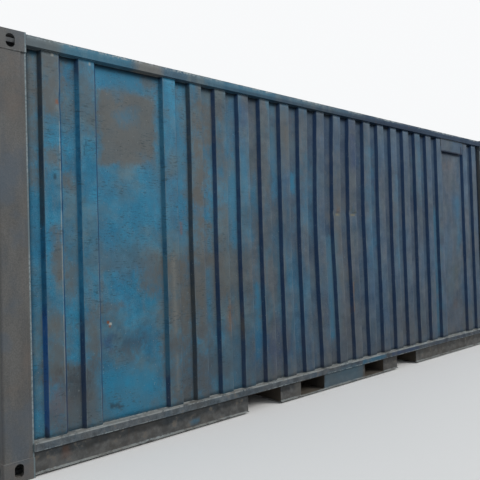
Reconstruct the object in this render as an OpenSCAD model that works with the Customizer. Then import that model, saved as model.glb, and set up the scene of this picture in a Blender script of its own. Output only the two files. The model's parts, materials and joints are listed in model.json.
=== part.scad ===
// Shipping container, 20 ft dry freight, in millimetres.
// Origin at the middle of the base. +Z is up, the length runs along X with the doors at +X,
// and the side at -Y is the left side, seen from the doors.
// Most sections are drawn in two numbers: a, the distance inwards from an end face of the
// castings, and b, the distance inwards from a side face of the castings.

/* [Overall] */
// Length over the corner castings
length = 6058; // [5000:1:7000]
// Width over the corner castings
width = 2438; // [2200:1:2600]
// Height over the corner castings
height = 2591; // [2300:1:2900]
// How far the frame stands back from the faces of the castings
frame_setback = 3; // [2:0.5:8]

/* [Corner castings] */
// Length of a casting, along the container
casting_l = 178; // [176:1:190]
// Width of a casting, across the container
casting_w = 162; // [160:1:175]
// Height of a casting
casting_h = 118; // [117:1:125]
// Thickness of the plate with the twistlock slot
casting_plate = 28; // [24:1:30]
// Thickness of the casting's other walls
casting_wall = 12; // [9:0.5:13]
// Radius on the outer upright edge of a casting
casting_edge_r = 10; // [4:1:14]
// Distance from the end face to the middle of a twistlock slot
slot_a = 102.5; // [90:0.5:104]
// Distance from the side face to the middle of a twistlock slot
slot_b = 89.5; // [80:0.5:95]
// Length of a twistlock slot
slot_l = 124.5; // [100:0.5:125]
// Width of a twistlock slot
slot_w = 63.5; // [50:0.5:70]
// Height of the side and end holes
hole_h = 79.5; // [72:0.5:80]
// Width of the hole in the side face
side_hole_w = 51; // [40:0.5:60]
// Width of the hole in the end face
end_hole_w = 63.5; // [50:0.5:70]
// Distance from the slotted face to the near edge of the side and end holes
hole_rise = 25; // [20:1:28]

/* [Corner posts] */
// Thickness of the pressed post plate
post_t = 6; // [4:0.5:8]
// Length of a post's side face, up to its step
post_face = 142; // [120:1:150]
// Depth of the step beside the side face
post_step = 8; // [4:1:12]
// Bend radius on a front post's outer edge
post_edge_r = 14; // [10:1:25]
// Width of a front post's end face
front_post_w = 126; // [100:1:155]
// Depth of a front post's end return
front_post_return = 64; // [50:1:90]
// Width across a rear post
rear_post_w = 50; // [44:1:60]
// How far a rear post's door face stands in from the end
rear_post_recess = 56; // [50:1:58]
// Length of a rear post's inner wall
rear_post_inner = 110; // [80:1:120]

/* [Rails] */
// Gap at a welded joint between two plates of one piece
weld_gap = 0.3; // [0.1:0.1:0.5]
// Side of the square top rail tube
top_rail = 60; // [50:1:70]
// Wall of the top rail tube
top_rail_t = 3; // [2:0.5:5]
// How far the rails' top stands below the castings' top
rail_drop = 11; // [9:1:20]
// Height of the bottom side rail's underside
rail_base = 15; // [11:1:20]
// Height of the bottom side rail
rail_h = 180; // [170:1:200]
// Width of the bottom side rail's top flange
rail_flange = 52; // [48:1:60]
// Height of the lip that hangs from the outer edge of the top flange
rail_lip = 50; // [30:1:54]
// How far the web below the lip stands in from it
rail_joggle = 12; // [8:1:20]
// Thickness of the bottom rail
rail_t = 4.5; // [3:0.5:6]
// Height of the door header
header_h = 107; // [100:1:107]
// Depth of the door header and of the door sill
header_d = 80; // [70:1:100]
// How far the header and sill stand in from the end
header_recess = 43; // [42:1:46]
// Thickness of the end rails
end_rail_t = 4; // [3:0.5:6]
// Depth of the front sill
front_sill_d = 72; // [64:1:90]

/* [Walls] */
// How far a side wall's outer flats stand in from the castings' face
wall_setback = 20; // [12:1:22]
// Thickness of the side wall sheet
wall_t = 1.6; // [1.2:0.1:3]
// Depth of a side wall's corrugation
rib_depth = 30; // [20:1:32]
// Width of an outer flat
rib_w = 104; // [80:1:112]
// Width of a sloping web, measured along the wall
rib_slope = 18; // [12:1:24]
// Distance between ribs
rib_pitch = 232; // [225:1:250]
// Distance from a corner post to the middle of the first rib
rib_edge = 147; // [110:0.5:170]
// Width of the flat marking panel near each end
panel_w = 476; // [350:1:500]
// Thickness of the front wall sheet
front_t = 2; // [1.6:0.1:3]
// How far the front wall's outer flats stand in from the end
front_setback = 12; // [8:1:16]
// Depth of the front wall's corrugation
front_depth = 45; // [30:1:46]
// Width of the front wall's flats
front_rib_w = 107; // [90:1:115]
// Width of the front wall's sloping webs
front_slope = 18; // [12:1:24]
// Distance between the front wall's ribs
front_pitch = 250; // [240:1:280]

/* [Vents] */
// Height of a vent's cover
vent_h = 150; // [100:1:200]
// Thickness of the cover sheet
vent_t = 2; // [1.5:0.5:3]
// How far the cover laps onto the ribs beside it
vent_lap = 10; // [8:1:24]
// Width of the notch in the cover's lower corner
vent_notch_w = 28; // [16:1:40]
// Height of that notch
vent_notch_h = 62; // [30:1:90]
// Radius of a vent hole
vent_hole_r = 5; // [4:0.5:8]
// Distance between vent holes
vent_hole_pitch = 36; // [24:1:44]
// Number of vent holes
vent_holes = 9; // [3:2:11]

/* [Roof] */
// Thickness of the roof sheet
roof_t = 2; // [1.6:0.1:3]
// Depth of the roof's troughs
trough_depth = 20; // [12:1:24]
// Width of a trough at its mouth
trough_w = 118; // [100:1:130]
// Width of a trough's sloping side
trough_slope = 13.5; // [10:0.5:20]
// Distance between troughs
trough_pitch = 209; // [195:1:230]
// Distance from the inner ends of the castings to the first and last troughs
trough_margin = 35; // [20:1:60]
// Distance from the rails to a trough's end
trough_end = 22; // [12:1:60]
// Thickness of the plates round the top castings
corner_plate_t = 3; // [2:0.5:4]
// Length of a corner plate
corner_plate_l = 330; // [260:1:420]
// Width of a corner plate
corner_plate_w = 270; // [220:1:320]

/* [Floor] */
// Thickness of the plywood deck
deck_t = 28; // [24:1:32]
// Width of a plywood board, along the container
board_w = 1160; // [900:1:1250]
// Joint between boards
board_gap = 2; // [1:0.5:4]
// Height of a cross member
member_h = 122; // [116:1:126]
// Width of a cross member's flanges
member_flange = 45; // [35:1:55]
// Thickness of a cross member
member_t = 4; // [3:0.5:6]
// Distance between cross members outside the fork pockets
member_pitch = 280; // [240:1:320]
// Distance between the outer fork pockets' centres
outer_pocket_spacing = 2050; // [1950:1:2100]
// Width of an outer fork pocket
outer_pocket_w = 360; // [340:1:365]
// Distance between the inner fork pockets' centres
inner_pocket_spacing = 900; // [880:1:960]
// Width of an inner fork pocket
inner_pocket_w = 305; // [290:1:340]
// Height of a fork pocket's opening in the rail
pocket_mouth_h = 118; // [115:1:120]

/* [Doors] */
// Gap round a door leaf, filled by its gasket
door_gap = 12; // [10:1:15]
// Gap between the two leaves, filled by their gaskets
leaf_gap = 10; // [8:1:14]
// Thickness of a leaf's frame
leaf_d = 50; // [44:1:56]
// How far a leaf's face stands in from the end
leaf_recess = 50; // [48:1:52]
// Width of a leaf's upright tubes
stile_w = 100; // [80:1:110]
// Height of a leaf's top and bottom channels
leaf_rail_h = 150; // [120:1:170]
// Thickness of a leaf's frame steel
leaf_t = 3; // [2:0.5:4]
// Thickness of a leaf's panel
leaf_panel_t = 2; // [1.6:0.1:3]
// Depth of the swages pressed into a leaf's panel
swage_depth = 36; // [20:1:40]
// Height of a swage's floor
swage_floor = 70; // [50:1:90]
// Height of a swage's sloping side
swage_slope = 68; // [50:1:76]
// Number of swages in a leaf
swages = 5; // [3:1:6]
// Thickness of the gasket's lip over the frame
gasket_lip = 6; // [4:1:8]

/* [Door gear] */
// Radius of a lock rod
rod_r = 17; // [15:0.5:18]
// How far a lock rod's axis stands in from the end
rod_in = 23; // [22:0.5:24]
// Distance from the middle to the inner lock rods
inner_rod_y = 150; // [130:1:200]
// Distance from the middle to the outer lock rods
outer_rod_y = 700; // [650:1:740]
// Radial clearance of a lock rod in its brackets
rod_clearance = 0.3; // [0.1:0.1:0.5]
// Outer radius of a rod bracket's collar
collar_r = 21; // [20:0.5:22]
// Height of a rod bracket
bracket_h = 70; // [50:1:90]
// Length of a door handle
handle_l = 400; // [320:1:410]
// Height of the handles
handle_z = 1120; // [1000:1:1300]
// Height of a handle's flat bar
handle_h = 36; // [28:1:44]
// Thickness of a handle's flat bar
handle_t = 10; // [8:1:12]
// How far a handle's bar stands in from the end
handle_in = 9; // [8:0.5:10]
// Distance over which the bar steps out beside the rod
handle_bend = 34; // [28:1:50]
// Length of the handle's turned-out end
handle_grip = 70; // [50:1:90]
// Width of a handle catch
catch_w = 46; // [30:1:60]
// Thickness of a handle catch
catch_t = 4; // [3:0.5:5]
// Height of a catch's lip
catch_lip = 12; // [8:1:14]
// Height of a hinge
hinge_h = 80; // [60:1:100]
// Radius of a hinge pin's barrel
hinge_r = 14; // [11:0.5:15]
// Radius of a hinge pin
hinge_pin_r = 7; // [5:0.5:8]
// Thickness of a hinge lug
hinge_lug_t = 12; // [8:1:16]
// Thickness of a hinge blade
hinge_blade_t = 8; // [6:0.5:10]
// Number of hinges on a leaf
hinges = 4; // [3:1:5]

/* [Hidden] */
$fn = 48;

front = -1;
rear = 1;
left = -1;
right = 1;
cut = 1;

blue = [0.16, 0.38, 0.52];
worn_blue = [0.27, 0.33, 0.38];
frame_grey = [0.36, 0.36, 0.35];
galvanised = [0.6, 0.61, 0.62];
plywood = [0.45, 0.32, 0.2];
rubber = [0.06, 0.06, 0.06];

half_l = length / 2;
half_w = width / 2;
inner_x = half_l - casting_l;
inner_y = half_w - casting_w;
rail_top_z = height - rail_drop;
top_rail_z = rail_top_z - top_rail;
bottom_rail_top = rail_base + rail_h;
rail_inner_b = frame_setback + rail_flange;
rail_inner_y = half_w - rail_inner_b;
rail_web_b = frame_setback + rail_joggle;
rail_back_y = half_w - rail_web_b - rail_t;
header_z = rail_top_z - header_h;
member_base = rail_base + 2;
member_top = member_base + member_h;
deck_top = member_top + deck_t;
pocket_mouth_top = member_base + member_t + pocket_mouth_h;

// Plate sections from a centreline

function unit(v) = v / norm(v);
function turned(v) = [-v[1], v[0]];

// A point of the path moved sideways by h, on the mitre of its two legs
function mitre(path, i, h) =
    let (last = len(path) - 1,
         before = unit(path[max(i, 1)] - path[max(i, 1) - 1]),
         after = unit(path[min(i, last - 1) + 1] - path[min(i, last - 1)]),
         m = unit(turned(before) + turned(after)))
    path[i] + m * h / (m * turned(before));

// Outline of a plate of thickness t bent along the path
function strip(path, t) = concat(
    [for (i = [0:len(path) - 1]) mitre(path, i, t / 2)],
    [for (i = [len(path) - 1:-1:0]) mitre(path, i, -t / 2)]);

// Points of a quarter bend of radius r that starts in direction from
function bend(centre, r, from, steps = 4) =
    [for (k = [0:steps]) centre + r * [cos(from + 90 * k / steps), sin(from + 90 * k / steps)]];

module flip(on, axis) {
    if (on) mirror(axis) children();
    else children();
}

// Carries a shape drawn in a, b and z to one corner of the box
module at_corner(end, side) {
    translate([end * half_l, side * half_w, 0])
        flip(end == rear, [1, 0, 0])
            flip(side == right, [0, 1, 0])
                children();
}

// Extrudes a section drawn in y and z along X
module along_x(l) {
    rotate([90, 0, 90]) linear_extrude(height = l, center = true) children();
}

// Extrudes a section drawn in x and z along Y
module along_y(l) {
    rotate([90, 0, 0]) linear_extrude(height = l, center = true) children();
}

// The space that the eight castings take, for cutting other pieces back to them
module casting_blocks() {
    for (end = [front, rear], side = [left, right])
        at_corner(end, side) {
            translate([-cut, -cut, -cut])
                cube([casting_l + cut, casting_w + cut, casting_h + cut]);
            translate([-cut, -cut, height - casting_h])
                cube([casting_l + cut, casting_w + cut, casting_h + cut]);
        }
}

// Corner castings

module casting_outline() {
    r = casting_edge_r;
    translate([r, 0]) square([casting_l - r, casting_w]);
    translate([0, r]) square([casting_l, casting_w - r]);
    translate([r, r]) circle(r);
}

// A hole with round ends, w wide and l long, with its length along the first axis
module slot_shape(l, w) {
    square([l - w, w], center = true);
    for (s = [-1, 1]) translate([s * (l - w) / 2, 0]) circle(w / 2);
}

module casting() {
    hole_z = hole_rise + hole_h / 2;
    color(frame_grey)
        difference() {
            linear_extrude(height = casting_h) casting_outline();
            translate([casting_wall, casting_wall, casting_plate])
                cube([casting_l - 2 * casting_wall, casting_w - 2 * casting_wall,
                    casting_h - casting_plate - casting_wall]);
            translate([slot_a, slot_b, -cut])
                linear_extrude(height = casting_plate + 2 * cut) slot_shape(slot_l, slot_w);
            translate([casting_l / 2, -cut, hole_z])
                rotate([0, 90, 90])
                    linear_extrude(height = casting_wall + 2 * cut)
                        slot_shape(hole_h, side_hole_w);
            translate([-cut, casting_w / 2, hole_z])
                rotate([90, 90, 90])
                    linear_extrude(height = casting_wall + 2 * cut)
                        slot_shape(hole_h, end_hole_w);
        }
}

module casting_at(end, side, top) {
    at_corner(end, side)
        if (top) translate([0, 0, height]) mirror([0, 0, 1]) casting();
        else casting();
}

// Corner posts

post_l = height - 2 * casting_h;
post_mid = frame_setback + post_t / 2;
post_lip_b = wall_setback + rib_depth + 12;

// The inner part of a post's side face: a step back, then a lip that the side wall meets
function post_lip_path() = [
    [casting_l - post_t / 2, post_lip_b],
    [casting_l - post_t / 2, post_mid + post_step],
    [post_face + post_step, post_mid + post_step],
    [post_face, post_mid]];

module front_post(side) {
    path = concat(post_lip_path(),
        [for (p = bend([post_mid + post_edge_r, post_mid + post_edge_r], post_edge_r, 180))
            [p[1], p[0]]],
        [[post_mid, front_post_w - post_t / 2],
         [front_post_return, front_post_w - post_t / 2]]);
    color(frame_grey)
        at_corner(front, side)
            translate([0, 0, casting_h])
                linear_extrude(height = post_l) polygon(strip(path, post_t));
}

module rear_post(side) {
    inner_b = rear_post_w - post_t / 2;
    face = concat(post_lip_path(), [[frame_setback, post_mid]]);
    channel = [
        [rear_post_recess + post_t / 2, frame_setback],
        [rear_post_recess + post_t / 2, inner_b],
        [rear_post_inner, inner_b]];
    color(frame_grey)
        at_corner(rear, side)
            translate([0, 0, casting_h])
                linear_extrude(height = post_l)
                    union() {
                        polygon(strip(face, post_t));
                        polygon(strip(channel, post_t));
                    }
}

// Rails

module top_rail(side) {
    color(worn_blue)
        translate([0, side * (half_w - frame_setback - top_rail / 2), top_rail_z + top_rail / 2])
            along_x(2 * inner_x)
                difference() {
                    square(top_rail, center = true);
                    square(top_rail - 2 * top_rail_t, center = true);
                }
}

// Upper section of the bottom side rail in b and z: up beside the deck, out over the top flange,
// down the lip, in under it and down to the mouths of the fork pockets
function rail_top_path() = [
    [rail_inner_b - rail_t / 2, member_top],
    [rail_inner_b - rail_t / 2, bottom_rail_top - rail_t / 2],
    [frame_setback + rail_t / 2, bottom_rail_top - rail_t / 2],
    [frame_setback + rail_t / 2, bottom_rail_top - rail_lip + rail_t / 2],
    [rail_web_b + rail_t / 2, bottom_rail_top - rail_lip + rail_t / 2],
    [rail_web_b + rail_t / 2, pocket_mouth_top]];

// Lower section: down the web and out along the lower flange
function rail_web_path() = [
    [rail_web_b + rail_t / 2, pocket_mouth_top - weld_gap],
    [rail_web_b + rail_t / 2, rail_base + rail_t / 2],
    [frame_setback, rail_base + rail_t / 2]];

module pocket_mouths(spacing, w) {
    for (s = [-1, 1])
        translate([s * spacing / 2 - w / 2, 0, rail_base - cut])
            cube([w, rail_inner_b, pocket_mouth_top - rail_base + cut]);
}

module bottom_rail() {
    color(worn_blue)
        translate([0, -half_w, 0]) {
            along_x(2 * inner_x) polygon(strip(rail_top_path(), rail_t));
            difference() {
                along_x(2 * inner_x) polygon(strip(rail_web_path(), rail_t));
                pocket_mouths(outer_pocket_spacing, outer_pocket_w);
                pocket_mouths(inner_pocket_spacing, inner_pocket_w);
            }
            lower_flange_strips();
        }
}

// The lower flange runs on under the mouths of the inner pockets
module lower_flange_strips() {
    w = inner_pocket_w - 2 * weld_gap;
    for (s = [-1, 1])
        translate([s * inner_pocket_spacing / 2 - w / 2, frame_setback, rail_base])
            cube([w, rail_joggle + rail_t, rail_t]);
}

module front_top_rail() {
    color(frame_grey)
        translate([-half_l + frame_setback + top_rail / 2, 0, top_rail_z + top_rail / 2])
            along_y(2 * inner_y)
                difference() {
                    square(top_rail, center = true);
                    square(top_rail - 2 * top_rail_t, center = true);
                }
}

module front_sill() {
    h = end_rail_t / 2;
    path = [[front_sill_d, rail_base + h], [frame_setback + h, rail_base + h],
        [frame_setback + h, bottom_rail_top - h], [front_sill_d, bottom_rail_top - h]];
    color(frame_grey)
        difference() {
            translate([-half_l, 0, 0])
                along_y(2 * (half_w - front_post_w)) polygon(strip(path, end_rail_t));
            casting_blocks();
        }
}

module door_header() {
    color(frame_grey)
        translate([half_l - header_recess - header_d / 2, 0, header_z + header_h / 2])
            along_y(2 * inner_y)
                difference() {
                    square([header_d, header_h], center = true);
                    square([header_d - 2 * end_rail_t, header_h - 2 * end_rail_t], center = true);
                }
}

module door_sill() {
    h = end_rail_t / 2;
    deep = header_recess + header_d;
    path = [[-deep, rail_base + h], [-header_recess - h, rail_base + h],
        [-header_recess - h, deck_top - h], [-deep, deck_top - h]];
    color(frame_grey)
        difference() {
            translate([half_l, 0, 0])
                along_y(2 * (half_w - rear_post_w)) polygon(strip(path, end_rail_t));
            casting_blocks();
        }
}

// Walls

rib_run = rib_w / 2 + rib_slope;
end_rib_x = inner_x - rib_edge;
group_rib_x = end_rib_x - rib_pitch;
mid_rib_x = group_rib_x - 2 * rib_run - panel_w;
mid_half = round(mid_rib_x / rib_pitch);
mid_pitch = mid_rib_x / mid_half;
rib_centres = concat([-end_rib_x, -group_rib_x],
    [for (i = [-mid_half:mid_half]) i * mid_pitch],
    [group_rib_x, end_rib_x]);

// A corrugated centreline: ribs at depth out, valleys at depth in, between -half and half
function corrugation(centres, half, flat, slope, out, in) = concat(
    [[-half, in]],
    [for (c = centres, p = [[-flat / 2 - slope, in], [-flat / 2, out],
        [flat / 2, out], [flat / 2 + slope, in]]) [c + p[0], p[1]]],
    [[half, in]]);

module side_wall() {
    outer = -half_w + wall_setback + wall_t / 2;
    path = corrugation(rib_centres, inner_x, rib_w, rib_slope, outer, outer + rib_depth);
    color(blue)
        difference() {
            translate([0, 0, bottom_rail_top])
                linear_extrude(height = top_rail_z - bottom_rail_top)
                    polygon(strip(path, wall_t));
            vent_hole_row();
        }
}

// The row of small holes behind the vent cover
module vent_hole_row() {
    for (i = [0:vent_holes - 1])
        translate([vent_x + (i - (vent_holes - 1) / 2) * vent_hole_pitch,
            -half_w + wall_setback, top_rail_z - vent_h / 2])
            rotate([-90, 0, 0]) cylinder(r = vent_hole_r, h = rib_depth + 2 * wall_t);
}

vent_x = mid_rib_x + rib_run + panel_w / 2;

// A sheet over the top of the marking panel, open along its lower edge and notched for the drain
module vent_cover() {
    w = panel_w + 2 * rib_slope + 2 * vent_lap;
    color(worn_blue)
        translate([vent_x - w / 2, -half_w + wall_setback - vent_t, top_rail_z - vent_h])
            difference() {
                cube([w, vent_t, vent_h]);
                translate([w - vent_notch_w, -cut, -cut])
                    cube([vent_notch_w + cut, vent_t + 2 * cut, vent_notch_h + cut]);
            }
}

module front_wall() {
    half = half_w - front_post_w;
    outer = front_setback + front_t / 2;
    n = floor((half - front_rib_w / 2 - front_slope) / front_pitch);
    centres = [for (i = [-n:n]) i * front_pitch];
    path = [for (p = corrugation(centres, half, front_rib_w, front_slope,
        outer, outer + front_depth)) [p[1] - half_l, p[0]]];
    color(worn_blue)
        difference() {
            translate([0, 0, bottom_rail_top])
                linear_extrude(height = top_rail_z - bottom_rail_top)
                    polygon(strip(path, front_t));
            casting_blocks();
        }
}

// Roof

roof_edge = 10;

// Troughs pressed down into the sheet, drop below its top face and grown sideways by grow
module troughs(top, drop, grow) {
    run = inner_x - trough_margin - trough_w / 2;
    n = round(run / trough_pitch);
    pitch = run / n;
    trough_y = half_w - frame_setback - top_rail - trough_end;
    half = trough_w / 2 + grow;
    half_y = trough_y + grow;
    slope = trough_slope * drop / trough_depth;
    intersection() {
        along_y(2 * half_w)
            for (i = [-n:n])
                translate([i * pitch, 0])
                    polygon([[-half, top], [-half + slope, top - drop],
                        [half - slope, top - drop], [half, top]]);
        along_x(length)
            polygon([[-half_y, top], [-half_y + slope, top - drop],
                [half_y - slope, top - drop], [half_y, top]]);
    }
}

// The pressed sheet between the castings' inner ends
module roof_sheet() {
    difference() {
        union() {
            translate([-inner_x, -half_w + roof_edge, rail_top_z])
                cube([2 * inner_x, width - 2 * roof_edge, roof_t]);
            troughs(rail_top_z + roof_t, trough_depth + roof_t, 0);
        }
        troughs(rail_top_z + roof_t, trough_depth, -roof_t);
    }
}

// A flat plate over an end rail, between two castings, from the sheet out to out_x
module roof_end_plate(out_x) {
    translate([inner_x + weld_gap, -inner_y, rail_top_z])
        cube([out_x - inner_x - weld_gap, 2 * inner_y, roof_t]);
}

module roof() {
    color(worn_blue) {
        roof_sheet();
        mirror([1, 0, 0]) roof_end_plate(half_l - roof_edge);
        roof_end_plate(half_l - header_recess - roof_edge);
    }
}

module roof_corner_plates() {
    color(frame_grey)
        for (end = [front, rear], side = [left, right])
            at_corner(end, side)
                translate([0, 0, rail_top_z + roof_t])
                    linear_extrude(height = corner_plate_t)
                        difference() {
                            translate([header_recess + roof_edge, roof_edge])
                                square([corner_plate_l - header_recess - roof_edge,
                                    corner_plate_w - roof_edge]);
                            square([casting_l, casting_w]);
                        }
}

// Floor and underframe

module floor_deck() {
    front_x = -half_l + frame_setback + end_rail_t;
    rear_x = half_l - header_recess - header_d;
    joints = floor(rear_x / board_w);
    color(plywood)
        translate([0, 0, member_top])
            linear_extrude(height = deck_t)
                difference() {
                    union() {
                        square([2 * inner_x, 2 * rail_inner_y], center = true);
                        translate([front_x, -half_w + front_post_w])
                            square([inner_x + half_l, 2 * (half_w - front_post_w)]);
                        translate([0, -inner_y])
                            square([rear_x, 2 * inner_y]);
                    }
                    square([length, board_gap], center = true);
                    for (i = [-joints:joints])
                        translate([i * board_w, 0]) square([board_gap, width], center = true);
                }
}

// A channel across the container: its web faces -X, its flanges point to +X
module member_section() {
    h = member_t / 2;
    polygon(strip([[member_flange, member_base + h], [h, member_base + h],
        [h, member_top - h], [member_flange, member_top - h]], member_t));
}

module cross_members() {
    outer_edge = (outer_pocket_spacing + outer_pocket_w) / 2;
    first = outer_edge + member_pitch;
    count = floor((inner_x - member_flange - first) / member_pitch);
    color(worn_blue) {
        translate([-member_flange / 2, 0, 0])
            along_y(2 * rail_back_y) member_section();
        for (side = [0, 1], i = [0:count])
            flip(side == 1, [1, 0, 0])
                translate([first + i * member_pitch, 0, 0])
                    along_y(2 * rail_back_y) member_section();
    }
}

// A fork pocket: two channels with their webs to the opening, a top plate between them,
// and a floor plate if closed
module fork_pocket(x, w, closed) {
    plate_w = w - 2 * weld_gap;
    color(worn_blue)
        translate([x, 0, 0])
            along_y(2 * rail_back_y) {
                translate([w / 2, 0]) member_section();
                translate([-w / 2, 0]) mirror([1, 0]) member_section();
                translate([-plate_w / 2, member_top - member_t]) square([plate_w, member_t]);
                if (closed)
                    translate([-plate_w / 2, member_base]) square([plate_w, member_t]);
            }
}

// Doors

leaf_outer_y = half_w - rear_post_w - door_gap;
leaf_inner_y = leaf_gap / 2;
leaf_w = leaf_outer_y - leaf_inner_y;
leaf_base = deck_top + door_gap;
leaf_top = header_z - door_gap;
leaf_h = leaf_top - leaf_base;
leaf_back = half_l - leaf_recess - leaf_d;
panel_h = leaf_h - 2 * leaf_rail_h;

module stile(y) {
    translate([leaf_back, y, leaf_base])
        difference() {
            cube([leaf_d, stile_w, leaf_h]);
            translate([leaf_t, leaf_t, -cut])
                cube([leaf_d - 2 * leaf_t, stile_w - 2 * leaf_t, leaf_h + 2 * cut]);
        }
}

// Section of a leaf between its stiles, in x and z: two channels and the pressed panel
module leaf_section() {
    h = leaf_t / 2;
    face = leaf_back + leaf_d;
    panel_face = face - leaf_panel_t / 2;
    pitch = panel_h / swages;
    half = swage_floor / 2 + swage_slope;
    channel = [[leaf_back, h], [face - h, h], [face - h, leaf_rail_h - h],
        [leaf_back, leaf_rail_h - h]];
    panel = concat([[panel_face, leaf_rail_h - h]],
        [for (i = [0:swages - 1], p = [[0, -half], [-swage_depth, -swage_floor / 2],
            [-swage_depth, swage_floor / 2], [0, half]])
            [panel_face + p[0], leaf_rail_h + (i + 0.5) * pitch + p[1]]],
        [[panel_face, leaf_h - leaf_rail_h + h]]);
    translate([0, leaf_base]) {
        polygon(strip(channel, leaf_t));
        translate([0, leaf_h]) mirror([0, 1]) polygon(strip(channel, leaf_t));
        polygon(strip(panel, leaf_panel_t));
    }
}

module door_leaf() {
    color(worn_blue) {
        stile(leaf_inner_y);
        stile(leaf_outer_y - stile_w);
        translate([0, (leaf_inner_y + leaf_outer_y) / 2, 0])
            along_y(leaf_w - 2 * stile_w + 2 * leaf_t) leaf_section();
    }
}

// A rubber frame round each leaf that fills the gap to the posts, header, sill and other leaf
module door_gaskets() {
    depth = leaf_d / 2;
    color(rubber)
        for (side = [left, right])
            flip(side == left, [0, 1, 0])
                translate([leaf_back + depth / 2, 0, 0])
                    difference() {
                        translate([0, leaf_inner_y - leaf_gap / 2, leaf_base - door_gap])
                            cube([depth, leaf_w + leaf_gap / 2 + door_gap, leaf_h + 2 * door_gap]);
                        translate([-cut, leaf_inner_y, leaf_base])
                            cube([depth + 2 * cut, leaf_w, leaf_h]);
                    }
}

hinge_a = rear_post_recess - hinge_r - 3;
hinge_b = frame_setback + post_t + hinge_r + 4;
hinge_play = 0.3;
hinge_span = leaf_h - 2 * leaf_rail_h - hinge_h;
hinge_heights = [for (i = [0:hinges - 1])
    leaf_base + leaf_rail_h + hinge_h / 2 + i * hinge_span / (hinges - 1)];

// A blade with a rolled barrel, on a pin between two lugs that stand on the post
module hinge() {
    blade_end = half_w - leaf_outer_y + stile_w * 0.8;
    barrel_h = hinge_h - 2 * hinge_lug_t - 2 * hinge_play;
    translate([hinge_a, hinge_b, -hinge_h / 2 - hinge_pin_r])
        cylinder(r = hinge_pin_r, h = hinge_h + 2 * hinge_pin_r);
    translate([0, 0, -barrel_h / 2])
        linear_extrude(height = barrel_h)
            union() {
                translate([hinge_a, hinge_b]) circle(hinge_r);
                translate([leaf_recess - hinge_blade_t, hinge_b])
                    square([hinge_blade_t, blade_end - hinge_blade_t - hinge_b]);
                translate([leaf_recess, blade_end - hinge_blade_t])
                    intersection() {
                        circle(hinge_blade_t);
                        translate([-hinge_blade_t, 0]) square(hinge_blade_t);
                    }
            }
    for (s = [-1, 1])
        translate([0, 0, s * (hinge_h - hinge_lug_t) / 2 - hinge_lug_t / 2])
            linear_extrude(height = hinge_lug_t)
                union() {
                    translate([hinge_a, hinge_b]) circle(hinge_r);
                    translate([hinge_a, hinge_b - hinge_r])
                        square([rear_post_recess - hinge_a, 2 * hinge_r]);
                }
}

module door_hinges() {
    color(worn_blue)
        for (side = [left, right], z = hinge_heights)
            at_corner(rear, side) translate([0, 0, z]) hinge();
}

// Door gear

rod_x = half_l - rod_in;
face_x = half_l - header_recess;
leaf_face_x = half_l - leaf_recess;
keeper_rise = 58;
cam_h = 26;
keeper_lug = 10;
keeper_plate = 5;
keeper_w = 34;
keeper_in = 7;
cam_l = 36;
cam_t = 22;
tooth_r = 6;
keeper_gap = 0.3;
rod_base = rail_base + keeper_rise - cam_h;
rod_top = rail_top_z - keeper_rise + cam_h;
rod_ys = [inner_rod_y, outer_rod_y];
handle_rest = 0.3;

// A claw across the rod, with a hollow in its back for the keeper's tooth
module cam(z) {
    translate([0, 0, z - cam_h / 2])
        linear_extrude(height = cam_h)
            difference() {
                union() {
                    circle(rod_r + 2);
                    translate([-cam_t / 2, 0]) square([cam_t, cam_l]);
                    translate([0, cam_l]) circle(cam_t / 2);
                }
                translate([-cam_t / 2, cam_l - tooth_r]) circle(tooth_r + keeper_gap);
            }
}

module lock_rod(y) {
    low = rail_base + keeper_rise;
    high = rail_top_z - keeper_rise;
    color(galvanised)
        translate([rod_x, y, 0]) {
            translate([0, 0, rod_base]) cylinder(r = rod_r, h = rod_top - rod_base);
            flip(y < 0, [0, 1, 0]) {
                cam(low);
                cam(high);
            }
        }
}

// Two lugs on a plate beside the rod, above and below the cam, with a tooth that the cam hooks on
module keeper(z) {
    near = rod_r + 3;
    half = cam_h / 2 + keeper_gap + keeper_lug;
    deep = rod_in - keeper_in + cam_t;
    difference() {
        translate([face_x, near, z - half]) cube([header_recess - keeper_in, keeper_w, 2 * half]);
        translate([face_x + keeper_plate, -cut, z - half + keeper_lug])
            cube([deep + header_recess, near + keeper_w + 2 * cut, 2 * (half - keeper_lug)]);
    }
    translate([rod_x - cam_t / 2, cam_l - tooth_r, z - half + keeper_lug])
        cylinder(r = tooth_r, h = 2 * (half - keeper_lug));
}

module cam_keepers() {
    color(worn_blue)
        for (side = [left, right], y = rod_ys, z = [rail_base + keeper_rise, rail_top_z - keeper_rise])
            flip(side == left, [0, 1, 0])
                translate([0, y, 0]) keeper(z);
}

// Heights of the guides along a rod
bracket_heights = [leaf_base + leaf_rail_h / 2, leaf_base + leaf_h * 0.3,
    leaf_base + leaf_h * 0.68, leaf_top - leaf_rail_h / 2];

module rod_bracket() {
    base_t = 3;
    difference() {
        union() {
            translate([rod_x, 0, -bracket_h * 0.3])
                cylinder(r = collar_r, h = bracket_h * 0.6);
            translate([leaf_face_x, -bracket_h / 2, -bracket_h / 2])
                cube([base_t, bracket_h, bracket_h]);
            translate([leaf_face_x, -collar_r, -bracket_h * 0.3])
                cube([leaf_recess - rod_in, 2 * collar_r, bracket_h * 0.6]);
        }
        translate([rod_x, 0, -bracket_h])
            cylinder(r = rod_r + rod_clearance, h = 2 * bracket_h);
    }
}

module rod_brackets() {
    color(galvanised)
        for (s = [-1, 1], y = rod_ys, z = bracket_heights)
            translate([0, s * y, z]) rod_bracket();
}

// Centreline of a handle's bar: from the rod it steps out to the face, and its end turns out to grip
function handle_path() = [
    [rod_in, 0], [rod_in, handle_bend], [handle_in + handle_t / 2, 2 * handle_bend],
    [handle_in + handle_t / 2, handle_l - handle_grip],
    [handle_in + handle_t / 2 - 2, handle_l]];

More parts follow.
